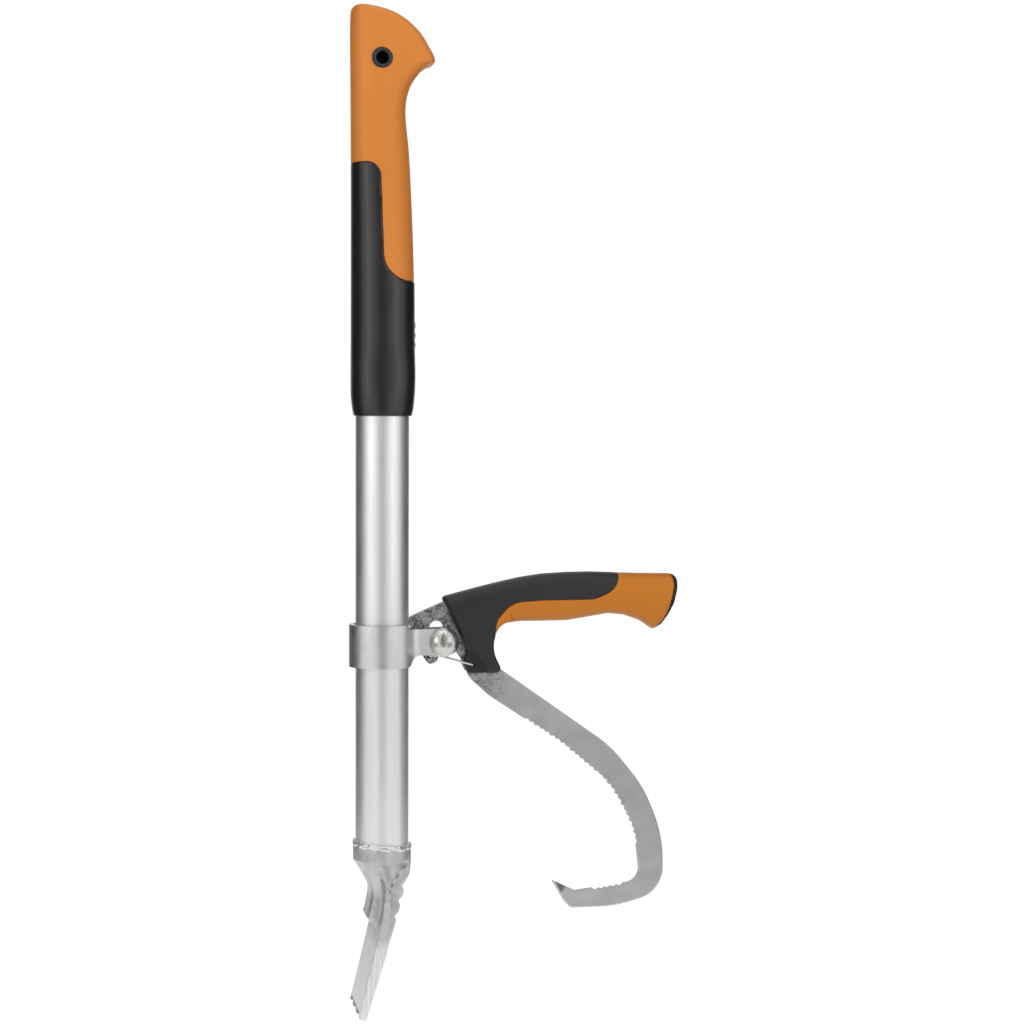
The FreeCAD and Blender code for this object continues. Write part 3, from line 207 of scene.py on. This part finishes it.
# nearer than this, the corner tooth's side keeps the ground colour; the teeth behind it take a painted shade
CORNER_TOOTH = -30.0 * MM


def forged_shoe_steel():
    """Drop-forged steel, zinc-plated: faint orange peel above, a blade ground lengthwise, and painted shade
    on the teeth behind the near corner tooth.
    """
    finish, tree, place = start("forged_shoe_steel")
    parts = add(tree, "ShaderNodeSeparateXYZ", {0: place})
    height = parts.outputs["Z"]
    peel = noise(tree, place, per_mm(1.6), 3.0)
    dents = noise(tree, place, per_mm(11.0), 2.0)
    lines = noise(tree, stretched(tree, place, 0.9, 24.0), 1.0, 4.0, 0.6)
    forged = blend_colour(tree, spread(tree, dents, 0.35, 0.65), "#b2b3b4", "#c4c5c6")
    ground = blend_colour(tree, spread(tree, lines, 0.35, 0.65), "#c6c7c8", "#ededed")
    on_blade = spread(tree, height, BLADE_TOP, BLADE_TOP - BLEND_DEPTH)
    low = spread(tree, height, TOOTH_TOP, TOOTH_TOP - TOOTH_BLEND)
    past_corner = spread(tree, parts.outputs["Y"], CORNER_TOOTH, CORNER_TOOTH + TOOTH_BLEND)
    # painted shade: the teeth below TOOTH_TOP, save the near corner tooth's side, are darkened to #898b8d
    painted_shade_on_teeth = calculate(tree, "MULTIPLY", low, past_corner)
    base = blend_colour(tree, painted_shade_on_teeth, blend_colour(tree, on_blade, forged, ground), "#898b8d")
    rough = spread(tree, peel, 0.3, 0.7, 0.38, 0.46)
    marks = calculate(tree, "MULTIPLY", lines, on_blade)
    normal = relief(tree, marks, 0.10, relief(tree, peel, 0.05, relief(tree, dents, 0.25)))
    return done(finish, tree, Base_Color=base, Metallic=0.7, Roughness=rough, Normal=normal)


def weld_metal():
    """Gas-shielded weld under the plating: bright, smooth metal that froze in ripples."""
    finish, tree, place = start("weld_metal")
    ripples = noise(tree, place, per_mm(2.2), 1.0)
    base = blend_colour(tree, ripples, "#cfcfcf", "#efefef")
    normal = relief(tree, ripples, 0.35)
    return done(finish, tree, Base_Color=base, Metallic=0.6, Roughness=0.24, Normal=normal)


def moulded_grip_plastic():
    """Glass-filled polyamide, injection-moulded in an eroded tool: even orange with a fine dull grain."""
    finish, tree, place = start("moulded_grip_plastic")
    # the real grain is about 0.1 mm, too fine to show, so it is drawn at 0.5 mm
    grain = noise(tree, place, per_mm(0.5), 2.0)
    flow = noise(tree, stretched(tree, place, 30.0, 90.0), 1.0, 1.0)
    base = blend_colour(tree, spread(tree, flow, 0.3, 0.7), "#de8530", "#e28935")
    rough = spread(tree, grain, 0.3, 0.7, 0.42, 0.5)
    normal = relief(tree, grain, 0.012)
    return done(finish, tree, Base_Color=base, Roughness=rough, Normal=normal, IOR=1.5)


def soft_grip_rubber():
    """Thermoplastic elastomer moulded over the core: near black, dull, with a soft bloom."""
    finish, tree, place = start("soft_grip_rubber")
    grain = noise(tree, place, per_mm(0.6), 3.0)
    bloom = noise(tree, stretched(tree, place, 12.0, 45.0), 1.0, 2.0)
    base = blend_colour(tree, spread(tree, bloom, 0.3, 0.7), "#18181a", "#1d1d1f")
    rough = spread(tree, grain, 0.3, 0.7, 0.30, 0.36)
    normal = relief(tree, grain, 0.02)
    return done(finish, tree, Base_Color=base, Roughness=rough, Normal=normal, IOR=1.55)


def eyelet_plastic():
    """Acetal eyelet, turned smooth: dark grey with a satin face."""
    finish, tree, place = start("eyelet_plastic")
    marks = noise(tree, place, per_mm(1.2), 2.0)
    base = blend_colour(tree, marks, "#1f2224", "#26292b")
    rough = spread(tree, marks, 0.3, 0.7, 0.36, 0.46)
    return done(finish, tree, Base_Color=base, Roughness=rough, IOR=1.48)


def eyelet_bore_painted_shade():
    """Painted shade for the eyelet's bore: near black and dull, where the hole lies in shade."""
    finish, tree, place = start("eyelet_bore_painted_shade")
    # near-black base is painted shade for the inside of the hole, not the plastic's own colour
    base = blend_colour(tree, noise(tree, place, per_mm(1.2), 2.0), "#060606", "#0a0a0b")
    return done(finish, tree, Base_Color=base, Roughness=0.9, IOR=1.1)


def pressed_strap_steel():
    """Cold-rolled strip, pressed to shape and zinc-plated: smooth satin with a faint grain round the band."""
    finish, tree, place = start("pressed_strap_steel")
    lines = noise(tree, stretched(tree, place, 30.0, 0.8), 1.0, 3.0)
    clouds = noise(tree, place, per_mm(7.0), 2.0)
    base = blend_colour(tree, spread(tree, clouds, 0.3, 0.7), "#d0d1d2", "#dadbdb")
    rough = spread(tree, clouds, 0.3, 0.7, 0.38, 0.44)
    normal = relief(tree, lines, 0.008)
    return done(finish, tree, Base_Color=base, Metallic=1.0, Roughness=rough, Normal=normal)


def hammered_rivet_steel():
    """Cold-headed rivet, bright zinc: shiny, with small flats that the heading hammer left."""
    finish, tree, place = start("hammered_rivet_steel")
    flats = add(tree, "ShaderNodeTexVoronoi", {"Vector": place, "Scale": per_mm(3.2)}, feature="SMOOTH_F1")
    scratches = noise(tree, place, per_mm(0.8), 3.0)
    base = blend_colour(tree, scratches, "#b0afac", "#cfcdca")
    rough = spread(tree, scratches, 0.3, 0.7, 0.20, 0.34)
    normal = relief(tree, flats.outputs["Distance"], 0.30, relief(tree, scratches, 0.03))
    return done(finish, tree, Base_Color=base, Metallic=1.0, Roughness=rough, Normal=normal)


def spring_wire_steel():
    """Hard-drawn spring wire, bright, with draw lines too fine to show."""
    finish, tree, place = start("spring_wire_steel")
    marks = noise(tree, place, per_mm(1.0), 2.0)
    base = blend_colour(tree, marks, "#a2a3a4", "#c4c5c6")
    return done(finish, tree, Base_Color=base, Metallic=1.0, Roughness=0.26, Normal=relief(tree, marks, 0.01))


def scaled_hook_steel(name, pale, dull, depth):
    """Flame-cut plate steel, zinc-plated: satin along the hook, rough dark mill scale round the hinge."""
    finish, tree, place = start(name)
    patches = noise(tree, place, per_mm(16.0), 2.0)
    satin = blend_colour(tree, spread(tree, patches, 0.3, 0.7), pale, dull)
    # scale flakes a millimetre or two wide, with dark clusters of them by the nose
    flakes = noise(tree, stretched(tree, place, 1.2, 1.9), 1.0, 4.0, 0.65)
    clusters = noise(tree, place, per_mm(8.0), 1.0)
    dark_scale = blend_colour(tree, spread(tree, flakes, 0.44, 0.60), "#2b2c2d", "#b4b6b7")
    pale_scale = blend_colour(tree, spread(tree, flakes, 0.36, 0.62), "#6f7172", "#c3c5c6")
    scaled = blend_colour(tree, spread(tree, clusters, 0.42, 0.56), pale_scale, dark_scale)
    near_hinge = near_point(tree, place, PIVOT, 78.0, 30.0)
    share = calculate(tree, "MULTIPLY", near_hinge, spread(tree, flakes, 0.3, 0.5, 0.7, 1.0))
    base = blend_colour(tree, share, satin, scaled)
    base = blend_colour(tree, near_point(tree, place, HOOK_POINT, 10.0, 8.0), base, "#6d6e70")
    rough = spread(tree, flakes, 0.3, 0.7, 0.38, 0.50)
    height = calculate(tree, "MULTIPLY", flakes, spread(tree, share, 0.0, 1.0, 0.06, 1.0))
    normal = relief(tree, height, depth)
    return done(finish, tree, Base_Color=base, Metallic=0.9, Roughness=rough, Normal=normal)


def ground_hook_steel():
    """Ground bevel of the hook: bright, with short cross scratches."""
    finish, tree, place = start("ground_hook_steel")
    lines = noise(tree, place, per_mm(0.8), 3.0)
    base = blend_colour(tree, lines, "#c4c5c5", "#d8d8d8")
    normal = relief(tree, lines, 0.03)
    return done(finish, tree, Base_Color=base, Metallic=0.3, Roughness=0.45, Normal=normal)


def moulded_handle_rubber():
    """Soft black thermoplastic of the hook's handle, dull with a fine grain."""
    finish, tree, place = start("moulded_handle_rubber")
    grain = noise(tree, place, per_mm(0.6), 3.0)
    base = blend_colour(tree, spread(tree, grain, 0.3, 0.7), "#151517", "#1a1a1c")
    rough = spread(tree, grain, 0.3, 0.7, 0.46, 0.56)
    normal = relief(tree, grain, 0.02)
    return done(finish, tree, Base_Color=base, Roughness=rough, Normal=normal, IOR=1.5)


def moulded_handle_plastic():
    """Orange polyamide of the hook's handle, a shade deeper than the grip's, satin."""
    finish, tree, place = start("moulded_handle_plastic")
    grain = noise(tree, place, per_mm(0.5), 2.0)
    base = blend_colour(tree, spread(tree, grain, 0.3, 0.7), "#c9740a", "#cd7b0f")
    rough = spread(tree, grain, 0.3, 0.7, 0.38, 0.46)
    normal = relief(tree, grain, 0.012)
    return done(finish, tree, Base_Color=base, Roughness=rough, Normal=normal, IOR=1.5)


def plain_pin_steel():
    """Plain turned pins and bushes inside the tool, dull grey with fine turning marks."""
    finish, tree, place = start("plain_pin_steel")
    marks = noise(tree, place, per_mm(0.7), 2.0)
    base = blend_colour(tree, marks, "#9c9d9e", "#b4b5b6")
    return done(finish, tree, Base_Color=base, Metallic=1.0, Roughness=0.35, Normal=relief(tree, marks, 0.01))


# Helpers for pieces

SHARP_CORNER = radians(28)
WELD_GAP = 0.002 * MM
PIECES = bpy.context.scene.collection


def place_piece(name, form, body, slot, stands_for, *finishes):
    """Turn a bmesh into a piece that rides on a body and stands for its CAD nodes."""
    for face in form.faces:
        face.smooth = True
    for edge in form.edges:
        if len(edge.link_faces) == 2 and edge.calc_face_angle(0.0) > SHARP_CORNER:
            edge.smooth = False
    mesh = bpy.data.meshes.new(name)
    form.to_mesh(mesh)
    form.free()
    for finish in finishes:
        mesh.materials.append(finish)
    piece = bpy.data.objects.new(name, mesh)
    PIECES.objects.link(piece)
    if body:
        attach(piece, body)
    if stands_for:
        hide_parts(*stands_for)
    return piece


def joined_copy(node):
    """Copy of a CAD node's mesh with its loose triangles joined."""
    form = bmesh.new()
    form.from_mesh(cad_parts[node].data)
    bmesh.ops.remove_doubles(form, verts=form.verts, dist=WELD_GAP)
    return form


def dressed_copy(node, name, body, slot, *finishes):
    """Piece with a CAD node's own shape and a finish."""
    return place_piece(name, joined_copy(node), body, slot, [node], *finishes)


def softened_form(node, voxel, rounds):
    """Copy of a CAD node remeshed in voxels, with its edges eased as a mould or a die leaves them."""
    form = joined_copy(node)
    mesh = bpy.data.meshes.new(node + "_blank")
    form.to_mesh(mesh)
    form.free()
    blank = bpy.data.objects.new(node + "_blank", mesh)
    PIECES.objects.link(blank)
    remesh = blank.modifiers.new("voxels", "REMESH")
    remesh.mode = "VOXEL"
    remesh.voxel_size = voxel * MM
    remesh.use_smooth_shade = True
    seen = blank.evaluated_get(bpy.context.evaluated_depsgraph_get())
    form = bmesh.new()
    form.from_mesh(seen.to_mesh())
    seen.to_mesh_clear()
    bpy.data.objects.remove(blank)
    bpy.data.meshes.remove(mesh)
    for _ in range(rounds):
        bmesh.ops.smooth_vert(
            form, verts=form.verts, factor=0.5, use_axis_x=True, use_axis_y=True, use_axis_z=True
        )
    return form


def softened_copy(node, name, body, slot, voxel, rounds, *finishes):
    """Piece with a CAD node's shape, its edges eased, and a finish."""
    return place_piece(name, softened_form(node, voxel, rounds), body, slot, [node], *finishes)


def turned(form, verts_and_edges, centre, axis, angle, steps, merge=True, shift=(0, 0, 0)):
    """Spin a profile about an axis, with its places a little on at each step where shift says so."""
    bmesh.ops.spin(
        form,
        geom=verts_and_edges,
        cent=centre,
        axis=axis,
        dvec=shift,
        angle=angle,
        steps=steps,
        use_merge=merge,
        use_normal_flip=False,
        use_duplicate=False,
    )


KNOB_RISE = 42.3 * MM
KNOB_SINK = 1.5 * MM
BEAK_START = 18.0 * MM
BEAK_TUCK = 0.08
# share of the beak's tuck from the hang hole down, and how fast it grows to the whole above
LOW_TUCK = 0.6
TUCK_GROWTH = 4.0


def make_grip(finish):
    """Core with its knob, whose crown and beak are drawn in a little to the photograph's outline."""
    form = softened_form("grip_core", 0.8, 2)
    for vert in form.verts:
        rise = min(max(vert.co.z / KNOB_RISE, 0.0), 1.0)
        tuck = BEAK_TUCK * min(1.0, rise * TUCK_GROWTH + LOW_TUCK)
        vert.co.x -= max(vert.co.x - BEAK_START, 0.0) * tuck
        vert.co.z -= KNOB_SINK * rise * (2.0 - rise)
    return place_piece("grip", form, "lever", "grip_plastic", ["grip_core"], finish)


EYELET_BORE = 4.9 * MM


def make_eyelet(node, name, face_finish, painted_shade_finish):
    """Eyelet half whose bore, and the floor in it, take a near-black painted shade."""
    form = joined_copy(node)
    for face in form.faces:
        middle = face.calc_center_median()
        # faces in the bore take the painted shade
        face.material_index = 1 if Vector((middle.x, middle.z)).length < EYELET_BORE else 0
    return place_piece(name, form, "lever", "eyelet_plastic", [node], face_finish, painted_shade_finish)


# Shaft

TUBE_WALL = 2.0 * MM
TUBE_FACETS = 144


def make_tube(finish):
    """Tube wall turned from its own section, inside the CAD tube's length."""
    low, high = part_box("shaft_tube")
    outer = (high.x - low.x) / 2
    inner = outer - TUBE_WALL
    form = bmesh.new()
    corners = ((inner, low.z), (outer, low.z), (outer, high.z), (inner, high.z))
    verts = [form.verts.new((TUBE_AXIS.x + radius, 0, height)) for radius, height in corners]
    edges = [form.edges.new((verts[i - 1], verts[i])) for i in range(4)]
    turned(form, verts + edges, TUBE_AXIS, (0, 0, 1), 2 * pi, TUBE_FACETS)
    bmesh.ops.recalc_face_normals(form, faces=form.faces)
    return place_piece("tube", form, "lever", "tube_steel", ["shaft_tube"], finish)


BEAD_RING = 20.9 * MM
BEAD_RADIUS = 1.9 * MM
BEAD_HEIGHT = -598.3 * MM
BEAD_TILT = radians(5.0)
BEAD_STRETCH = 1.25
BEAD_FACETS = 240
# each wave round the bead: its size, its number of crests, and its phase
BEAD_RIPPLES = ((0.30 * MM, 9, 0.6), (0.22 * MM, 23, 0.0), (0.16 * MM, 41, 1.1))
BEAD_SWELLS = ((0.10, 13, 2.0), (0.08, 29, 0.0))


def waves(angle, rows):
    """Sum of the waves round the bead at one angle."""
    return sum(size * sin(crests * angle + phase) for size, crests, phase in rows)


def make_weld_bead(finish):
    """Bead laid round the socket's mouth, wavy as its ripples froze."""
    form = bmesh.new()
    ring = bmesh.ops.create_circle(form, cap_ends=False, radius=BEAD_RADIUS, segments=16)["verts"]
    bmesh.ops.rotate(form, verts=ring, cent=(0, 0, 0), matrix=Matrix.Rotation(pi / 2, 3, "X"))
    bmesh.ops.translate(form, verts=ring, vec=(BEAD_RING, 0, 0))
    turned(form, list(form.verts) + list(form.edges), (0, 0, 0), (0, 0, 1), 2 * pi, BEAD_FACETS)
    for vert in form.verts:
        angle = atan2(vert.co.y, vert.co.x)
        spine = Vector((cos(angle), sin(angle), 0)) * BEAD_RING
        ripple = Vector((0, 0, waves(angle, BEAD_RIPPLES)))
        vert.co = spine + (vert.co - spine) * (1 + waves(angle, BEAD_SWELLS)) + ripple
        vert.co.z *= BEAD_STRETCH
    turn = Matrix.Rotation(BEAD_TILT, 3, "Y")
    bmesh.ops.rotate(form, verts=form.verts, cent=(0, 0, 0), matrix=turn)
    bmesh.ops.translate(form, verts=form.verts, vec=(TUBE_AXIS.x, 0, BEAD_HEIGHT))
    bmesh.ops.recalc_face_normals(form, faces=form.faces)
    return place_piece("weld_bead", form, "lever", "weld_steel", ["shoe_weld_bead"], finish)


# Spring

WIRE_RADIUS = 0.9 * MM
COIL_RADIUS = 10.0 * MM
COIL_MIDDLE = PIVOT - Vector((0, 0, 1.2)) * MM
COIL_NEAR = -6.2 * MM
COIL_PITCH = 2.3 * MM
LEG_ANGLE = radians(16.2)
COIL_ANGLE = 4 * pi - LEG_ANGLE
LEG_LENGTH = 27.5 * MM
WIRE_BEND = 2.2 * MM
LEG_TIP = 1.6 * MM
STOP_LEG = 12.6 * MM
STOP_END = -12.0 * MM
BEND_STEPS = 6
COIL_STEPS = 120


def wire_disc(form, centre, way):
    """Round section of the wire, square to its way."""
    turn = Vector((0, 0, 1)).rotation_difference(Vector(way)).to_matrix()
    ring = bmesh.ops.create_circle(form, cap_ends=True, radius=WIRE_RADIUS, segments=20)["verts"]
    bmesh.ops.rotate(form, verts=ring, cent=(0, 0, 0), matrix=turn)
    bmesh.ops.translate(form, verts=ring, vec=centre)
    return [face for face in form.faces if all(vert in ring for vert in face.verts)]


def draw_straight(form, faces, step):
    """Draw the wire's end face on by a step, and return the new end face."""
    drawn = bmesh.ops.extrude_discrete_faces(form, faces=faces)["faces"]
    bmesh.ops.translate(form, verts=[vert for face in drawn for vert in face.verts], vec=step)
    return drawn


def draw_bend(form, faces, centre, axis, angle, steps):
    """Draw the wire's end face round a bend, and return the new end face."""
    for number in range(steps):
        drawn = bmesh.ops.extrude_discrete_faces(form, faces=faces)["faces"]
        verts = [vert for face in drawn for vert in face.verts]
        turn = Matrix.Rotation(angle / steps, 3, axis)
        bmesh.ops.rotate(form, verts=verts, cent=centre, matrix=turn)
        faces = drawn
    return faces


def make_spring(finish):
    """Stop leg on the collar, coil about the hinge, and the leg that lies on the handle's root."""
    coil_length = COIL_PITCH * COIL_ANGLE / (2 * pi)
    far = COIL_NEAR + coil_length
    start_place = COIL_MIDDLE + Vector((0, far, -COIL_RADIUS))
    form = bmesh.new()
    stop_x = start_place.x - STOP_LEG
    end = wire_disc(form, (stop_x, STOP_END, start_place.z), (0, 1, 0))
    end = draw_straight(form, end, (0, far - WIRE_BEND - STOP_END, 0))
    bend_centre = (stop_x + WIRE_BEND, far - WIRE_BEND, start_place.z)
    end = draw_bend(form, end, bend_centre, "Z", -pi / 2, BEND_STEPS)
    draw_straight(form, end, (STOP_LEG - WIRE_BEND, 0, 0))
    bmesh.ops.remove_doubles(form, verts=form.verts, dist=WELD_GAP)
    bmesh.ops.recalc_face_normals(form, faces=form.faces)
    place_piece("spring_stop_leg", form, "clamp_collar", "spring_steel", [], finish)

    form = bmesh.new()
    wire_disc(form, start_place, (1, 0, 0))
    turned(
        form,
        list(form.verts) + list(form.edges) + list(form.faces),
        COIL_MIDDLE,
        (0, 1, 0),
        -COIL_ANGLE,
        COIL_STEPS,
        merge=False,
        shift=(0, -coil_length / COIL_STEPS, 0),
    )
    bmesh.ops.remove_doubles(form, verts=form.verts, dist=WELD_GAP)
    bmesh.ops.recalc_face_normals(form, faces=form.faces)
    coil = place_piece("spring_coil", form, None, "spring_steel", ["torsion_spring"], finish)
    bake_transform(coil)

    leave = -pi / 2 - LEG_ANGLE
    coil_end = COIL_MIDDLE + Vector((cos(leave) * COIL_RADIUS, COIL_NEAR, sin(leave) * COIL_RADIUS))
    out = Vector((cos(LEG_ANGLE), 0, -sin(LEG_ANGLE)))
    form = bmesh.new()
    end = wire_disc(form, coil_end, out)
    end = draw_straight(form, end, out * (LEG_LENGTH - WIRE_BEND))
    bend_centre = coil_end + out * (LEG_LENGTH - WIRE_BEND) + Vector((0, WIRE_BEND, 0))
    side = Vector((0, 1, 0)).cross(out)
    end = draw_bend(form, end, bend_centre, -side, pi / 2, BEND_STEPS)
    draw_straight(form, end, (0, LEG_TIP, 0))
    bmesh.ops.remove_doubles(form, verts=form.verts, dist=WELD_GAP)
    bmesh.ops.recalc_face_normals(form, faces=form.faces)
    place_piece("spring_hook_leg", form, "hook_arm", "spring_steel", [], finish)


# Hook

# how squarely a face looks front or back: a plate face, or at least a bevel
PLATE_SQUARENESS = 0.95
BEVEL_SQUARENESS = 0.3


def make_hook(plate_finish, bevel_finish, cut_finish):
    """Hook with its plate faces, ground bevels and cut edges finished apart."""
    form = joined_copy("cant_hook")
    for face in form.faces:
        squareness = abs(face.normal.y)
        face.material_index = int(squareness <= PLATE_SQUARENESS) + int(squareness <= BEVEL_SQUARENESS)
    return place_piece(
        "hook", form, "hook_arm", "hook_steel", ["cant_hook"], plate_finish, bevel_finish, cut_finish
    )


# Stage: pale floor, white background, soft studio light

LIGHT_TURN = 6.8
LIGHT_MIDDLE = Vector((2.0, 0.0, -400.0)) * MM
FRONT_CARD_GREY = "#7a7a7a"
SIDE_CARD_GREY = "#343434"
LOW_CARD_GREY = "#b4b4b4"
SOFT_LIGHT = 0.36
FLOOR_GLOW = 0.74
FLOOR_RADIUS = 12.0
FLOOR_GAP = 1.5 * MM


def backdrop_share(tree):
    """Share that is one for the camera's, gloss and glass rays, and nought for light on the object."""
    path = add(tree, "ShaderNodeLightPath").outputs
    seen = calculate(tree, "MAXIMUM", path["Is Camera Ray"], path["Is Glossy Ray"])
    return calculate(tree, "MAXIMUM", seen, path["Is Transmission Ray"])


def make_world():
    """Even pale light, and plain white where the camera, a gloss or a glass sees past the object."""
    world = bpy.data.worlds.new("studio")
    world.use_nodes = True
    tree = world.node_tree
    tree.nodes.clear()
    soft = add(tree, "ShaderNodeBackground", {"Color": colour("#ffffff"), "Strength": SOFT_LIGHT})
    white = add(tree, "ShaderNodeBackground", {"Color": colour("#ffffff"), "Strength": 1.0})
    mix = add(tree, "ShaderNodeMixShader", {0: backdrop_share(tree), 1: soft.outputs[0], 2: white.outputs[0]})
    add(tree, "ShaderNodeOutputWorld", {"Surface": mix.outputs[0]})
    bpy.context.scene.world = world


def make_floor():
    """Pale floor just under the toothed foot, white to the camera where no shadow lies."""
    finish, tree, place = start("pale_floor")
    grain = noise(tree, place, per_mm(40.0), 2.0)
    base = blend_colour(tree, grain, "#e9e9e9", "#ebebeb")
    paper = add(tree, "ShaderNodeBsdfDiffuse", {"Color": base})
    glow = add(tree, "ShaderNodeEmission", {"Color": colour("#ffffff"), "Strength": FLOOR_GLOW})
    lit = add(tree, "ShaderNodeAddShader", {0: paper.outputs[0], 1: glow.outputs[0]})
    mix = add(tree, "ShaderNodeMixShader", {0: backdrop_share(tree), 1: paper.outputs[0], 2: lit.outputs[0]})
    add(tree, "ShaderNodeOutputMaterial", {"Surface": mix.outputs[0]})
    form = bmesh.new()
    bmesh.ops.create_circle(form, cap_ends=True, radius=FLOOR_RADIUS, segments=96)
    height = cad_box[0].z - FLOOR_GAP
    bmesh.ops.translate(form, verts=form.verts, vec=(0, 0, height))
    mesh = bpy.data.meshes.new("floor")
    form.to_mesh(mesh)
    form.free()
    mesh.materials.append(finish)
    floor = bpy.data.objects.new("floor", mesh)
    PIECES.objects.link(floor)


def toward(turn, rise=0.0):
    """Way from the shaft at an angle round it from the camera's side, and at an angle above the level."""
    angle = radians(turn - LIGHT_TURN)
    level = cos(radians(rise))
    return Vector((sin(angle) * level, -cos(angle) * level, sin(radians(rise))))


def softbox(name, turn, rise, away, width, height, power, in_gloss=True):
    """Rectangular lamp aimed at the shaft."""
    data = bpy.data.lights.new(name, "AREA")
    data.shape = "RECTANGLE"
    data.size = width
    data.size_y = height
    data.energy = power
    way = toward(turn, rise)
    lamp = bpy.data.objects.new(name, data)
    lamp.location = LIGHT_MIDDLE + way * away
    lamp.rotation_mode = "QUATERNION"
    lamp.rotation_quaternion = way.to_track_quat("Z", "Y")
    lamp.visible_glossy = in_gloss
    PIECES.objects.link(lamp)


def gloss_card(name, grey, turn, away, width, height, drop=0.0):
    """Card round the object, seen in gloss alone, which gives round metal its darker edges and middle."""
    finish, tree, _ = start(name)
    glow = add(tree, "ShaderNodeEmission", {"Color": colour(grey), "Strength": 1.0})
    add(tree, "ShaderNodeOutputMaterial", {"Surface": glow.outputs[0]})
    form = bmesh.new()
    bmesh.ops.create_grid(form, x_segments=1, y_segments=1, size=0.5)
    bmesh.ops.scale(form, verts=form.verts, vec=(width, height, 1.0))
    way = toward(turn)
    facing = way.to_track_quat("Z", "Y").to_matrix()
    bmesh.ops.rotate(form, verts=form.verts, cent=(0, 0, 0), matrix=facing)
    bmesh.ops.translate(form, verts=form.verts, vec=LIGHT_MIDDLE + way * away - Vector((0, 0, drop)))
    mesh = bpy.data.meshes.new(name)
    form.to_mesh(mesh)
    form.free()
    mesh.materials.append(finish)
    card = bpy.data.objects.new(name, mesh)
    card.visible_camera = False
    card.visible_diffuse = False
    card.visible_transmission = False
    card.visible_shadow = False
    PIECES.objects.link(card)


make_camera()
make_world()
make_floor()
softbox("left_softbox", turn=-50.0, rise=12.0, away=2.0, width=0.45, height=1.3, power=3.1)
softbox("right_softbox", turn=48.0, rise=12.0, away=2.0, width=0.40, height=1.3, power=2.25)
softbox("front_softbox", turn=0.0, rise=12.0, away=2.4, width=1.5, height=1.5, power=20.0, in_gloss=False)
softbox("top_softbox", turn=0.0, rise=70.0, away=2.0, width=1.5, height=1.0, power=5.0)
gloss_card("front_card", FRONT_CARD_GREY, turn=1.0, away=0.5, width=0.30, height=2.4)
gloss_card("left_card", SIDE_CARD_GREY, turn=-115.0, away=0.5, width=0.70, height=2.4)
gloss_card("right_card", SIDE_CARD_GREY, turn=117.0, away=0.5, width=0.66, height=2.4)
gloss_card("low_left_card", LOW_CARD_GREY, turn=-50.0, away=0.5, width=0.30, height=0.26, drop=0.20)
gloss_card("low_right_card", LOW_CARD_GREY, turn=48.0, away=0.5, width=0.30, height=0.26, drop=0.20)

black = soft_grip_rubber()
rivet = hammered_rivet_steel()
pin = plain_pin_steel()

make_tube(drawn_tube_steel())
make_weld_bead(weld_metal())
softened_copy("felling_shoe", "shoe", "lever", "shoe_steel", 0.6, 2, forged_shoe_steel())
make_grip(moulded_grip_plastic())
softened_copy("soft_grip", "grip_sleeve", "lever", "grip_rubber", 0.8, 3, black)
eyelet_face = eyelet_plastic()
bore_painted_shade = eyelet_bore_painted_shade()
make_eyelet("hang_eyelet_front", "eyelet_front", eyelet_face, bore_painted_shade)
make_eyelet("hang_eyelet_back", "eyelet_back", eyelet_face, bore_painted_shade)
dressed_copy("collar_strap", "collar", "clamp_collar", "strap_steel", pressed_strap_steel())
dressed_copy("pivot_rivet", "rivet", "clamp_collar", "rivet_steel", rivet)
dressed_copy("rivet_washer", "washer", "clamp_collar", "rivet_steel", rivet)
make_spring(spring_wire_steel())
make_hook(
    scaled_hook_steel("scaled_hook_plate", "#a8a8aa", "#b6b6b7", 0.25),
    ground_hook_steel(),
    scaled_hook_steel("scaled_hook_edge", "#9d9fa0", "#b9bbbb", 0.18),
)
handle_black = moulded_handle_rubber()
softened_copy("hook_handle_body", "handle", "hook_arm", "handle_rubber", 0.6, 3, handle_black)
softened_copy(
    "hook_handle_inlay", "handle_inlay", "hook_arm", "handle_plastic", 0.6, 3, moulded_handle_plastic()
)
softened_copy("hook_handle_end_cap", "handle_end_cap", "hook_arm", "handle_rubber", 0.6, 3, handle_black)
hidden_steel = (
    "grip_cross_pin",
    "pivot_bush",
    "spring_guide",
    "thrust_washer",
    "tang_pin_inner",
    "tang_pin_outer",
)
for node in hidden_steel:
    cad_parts[node].data.materials.clear()
    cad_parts[node].data.materials.append(pin)

bpy.context.scene.view_settings.view_transform = "Standard"
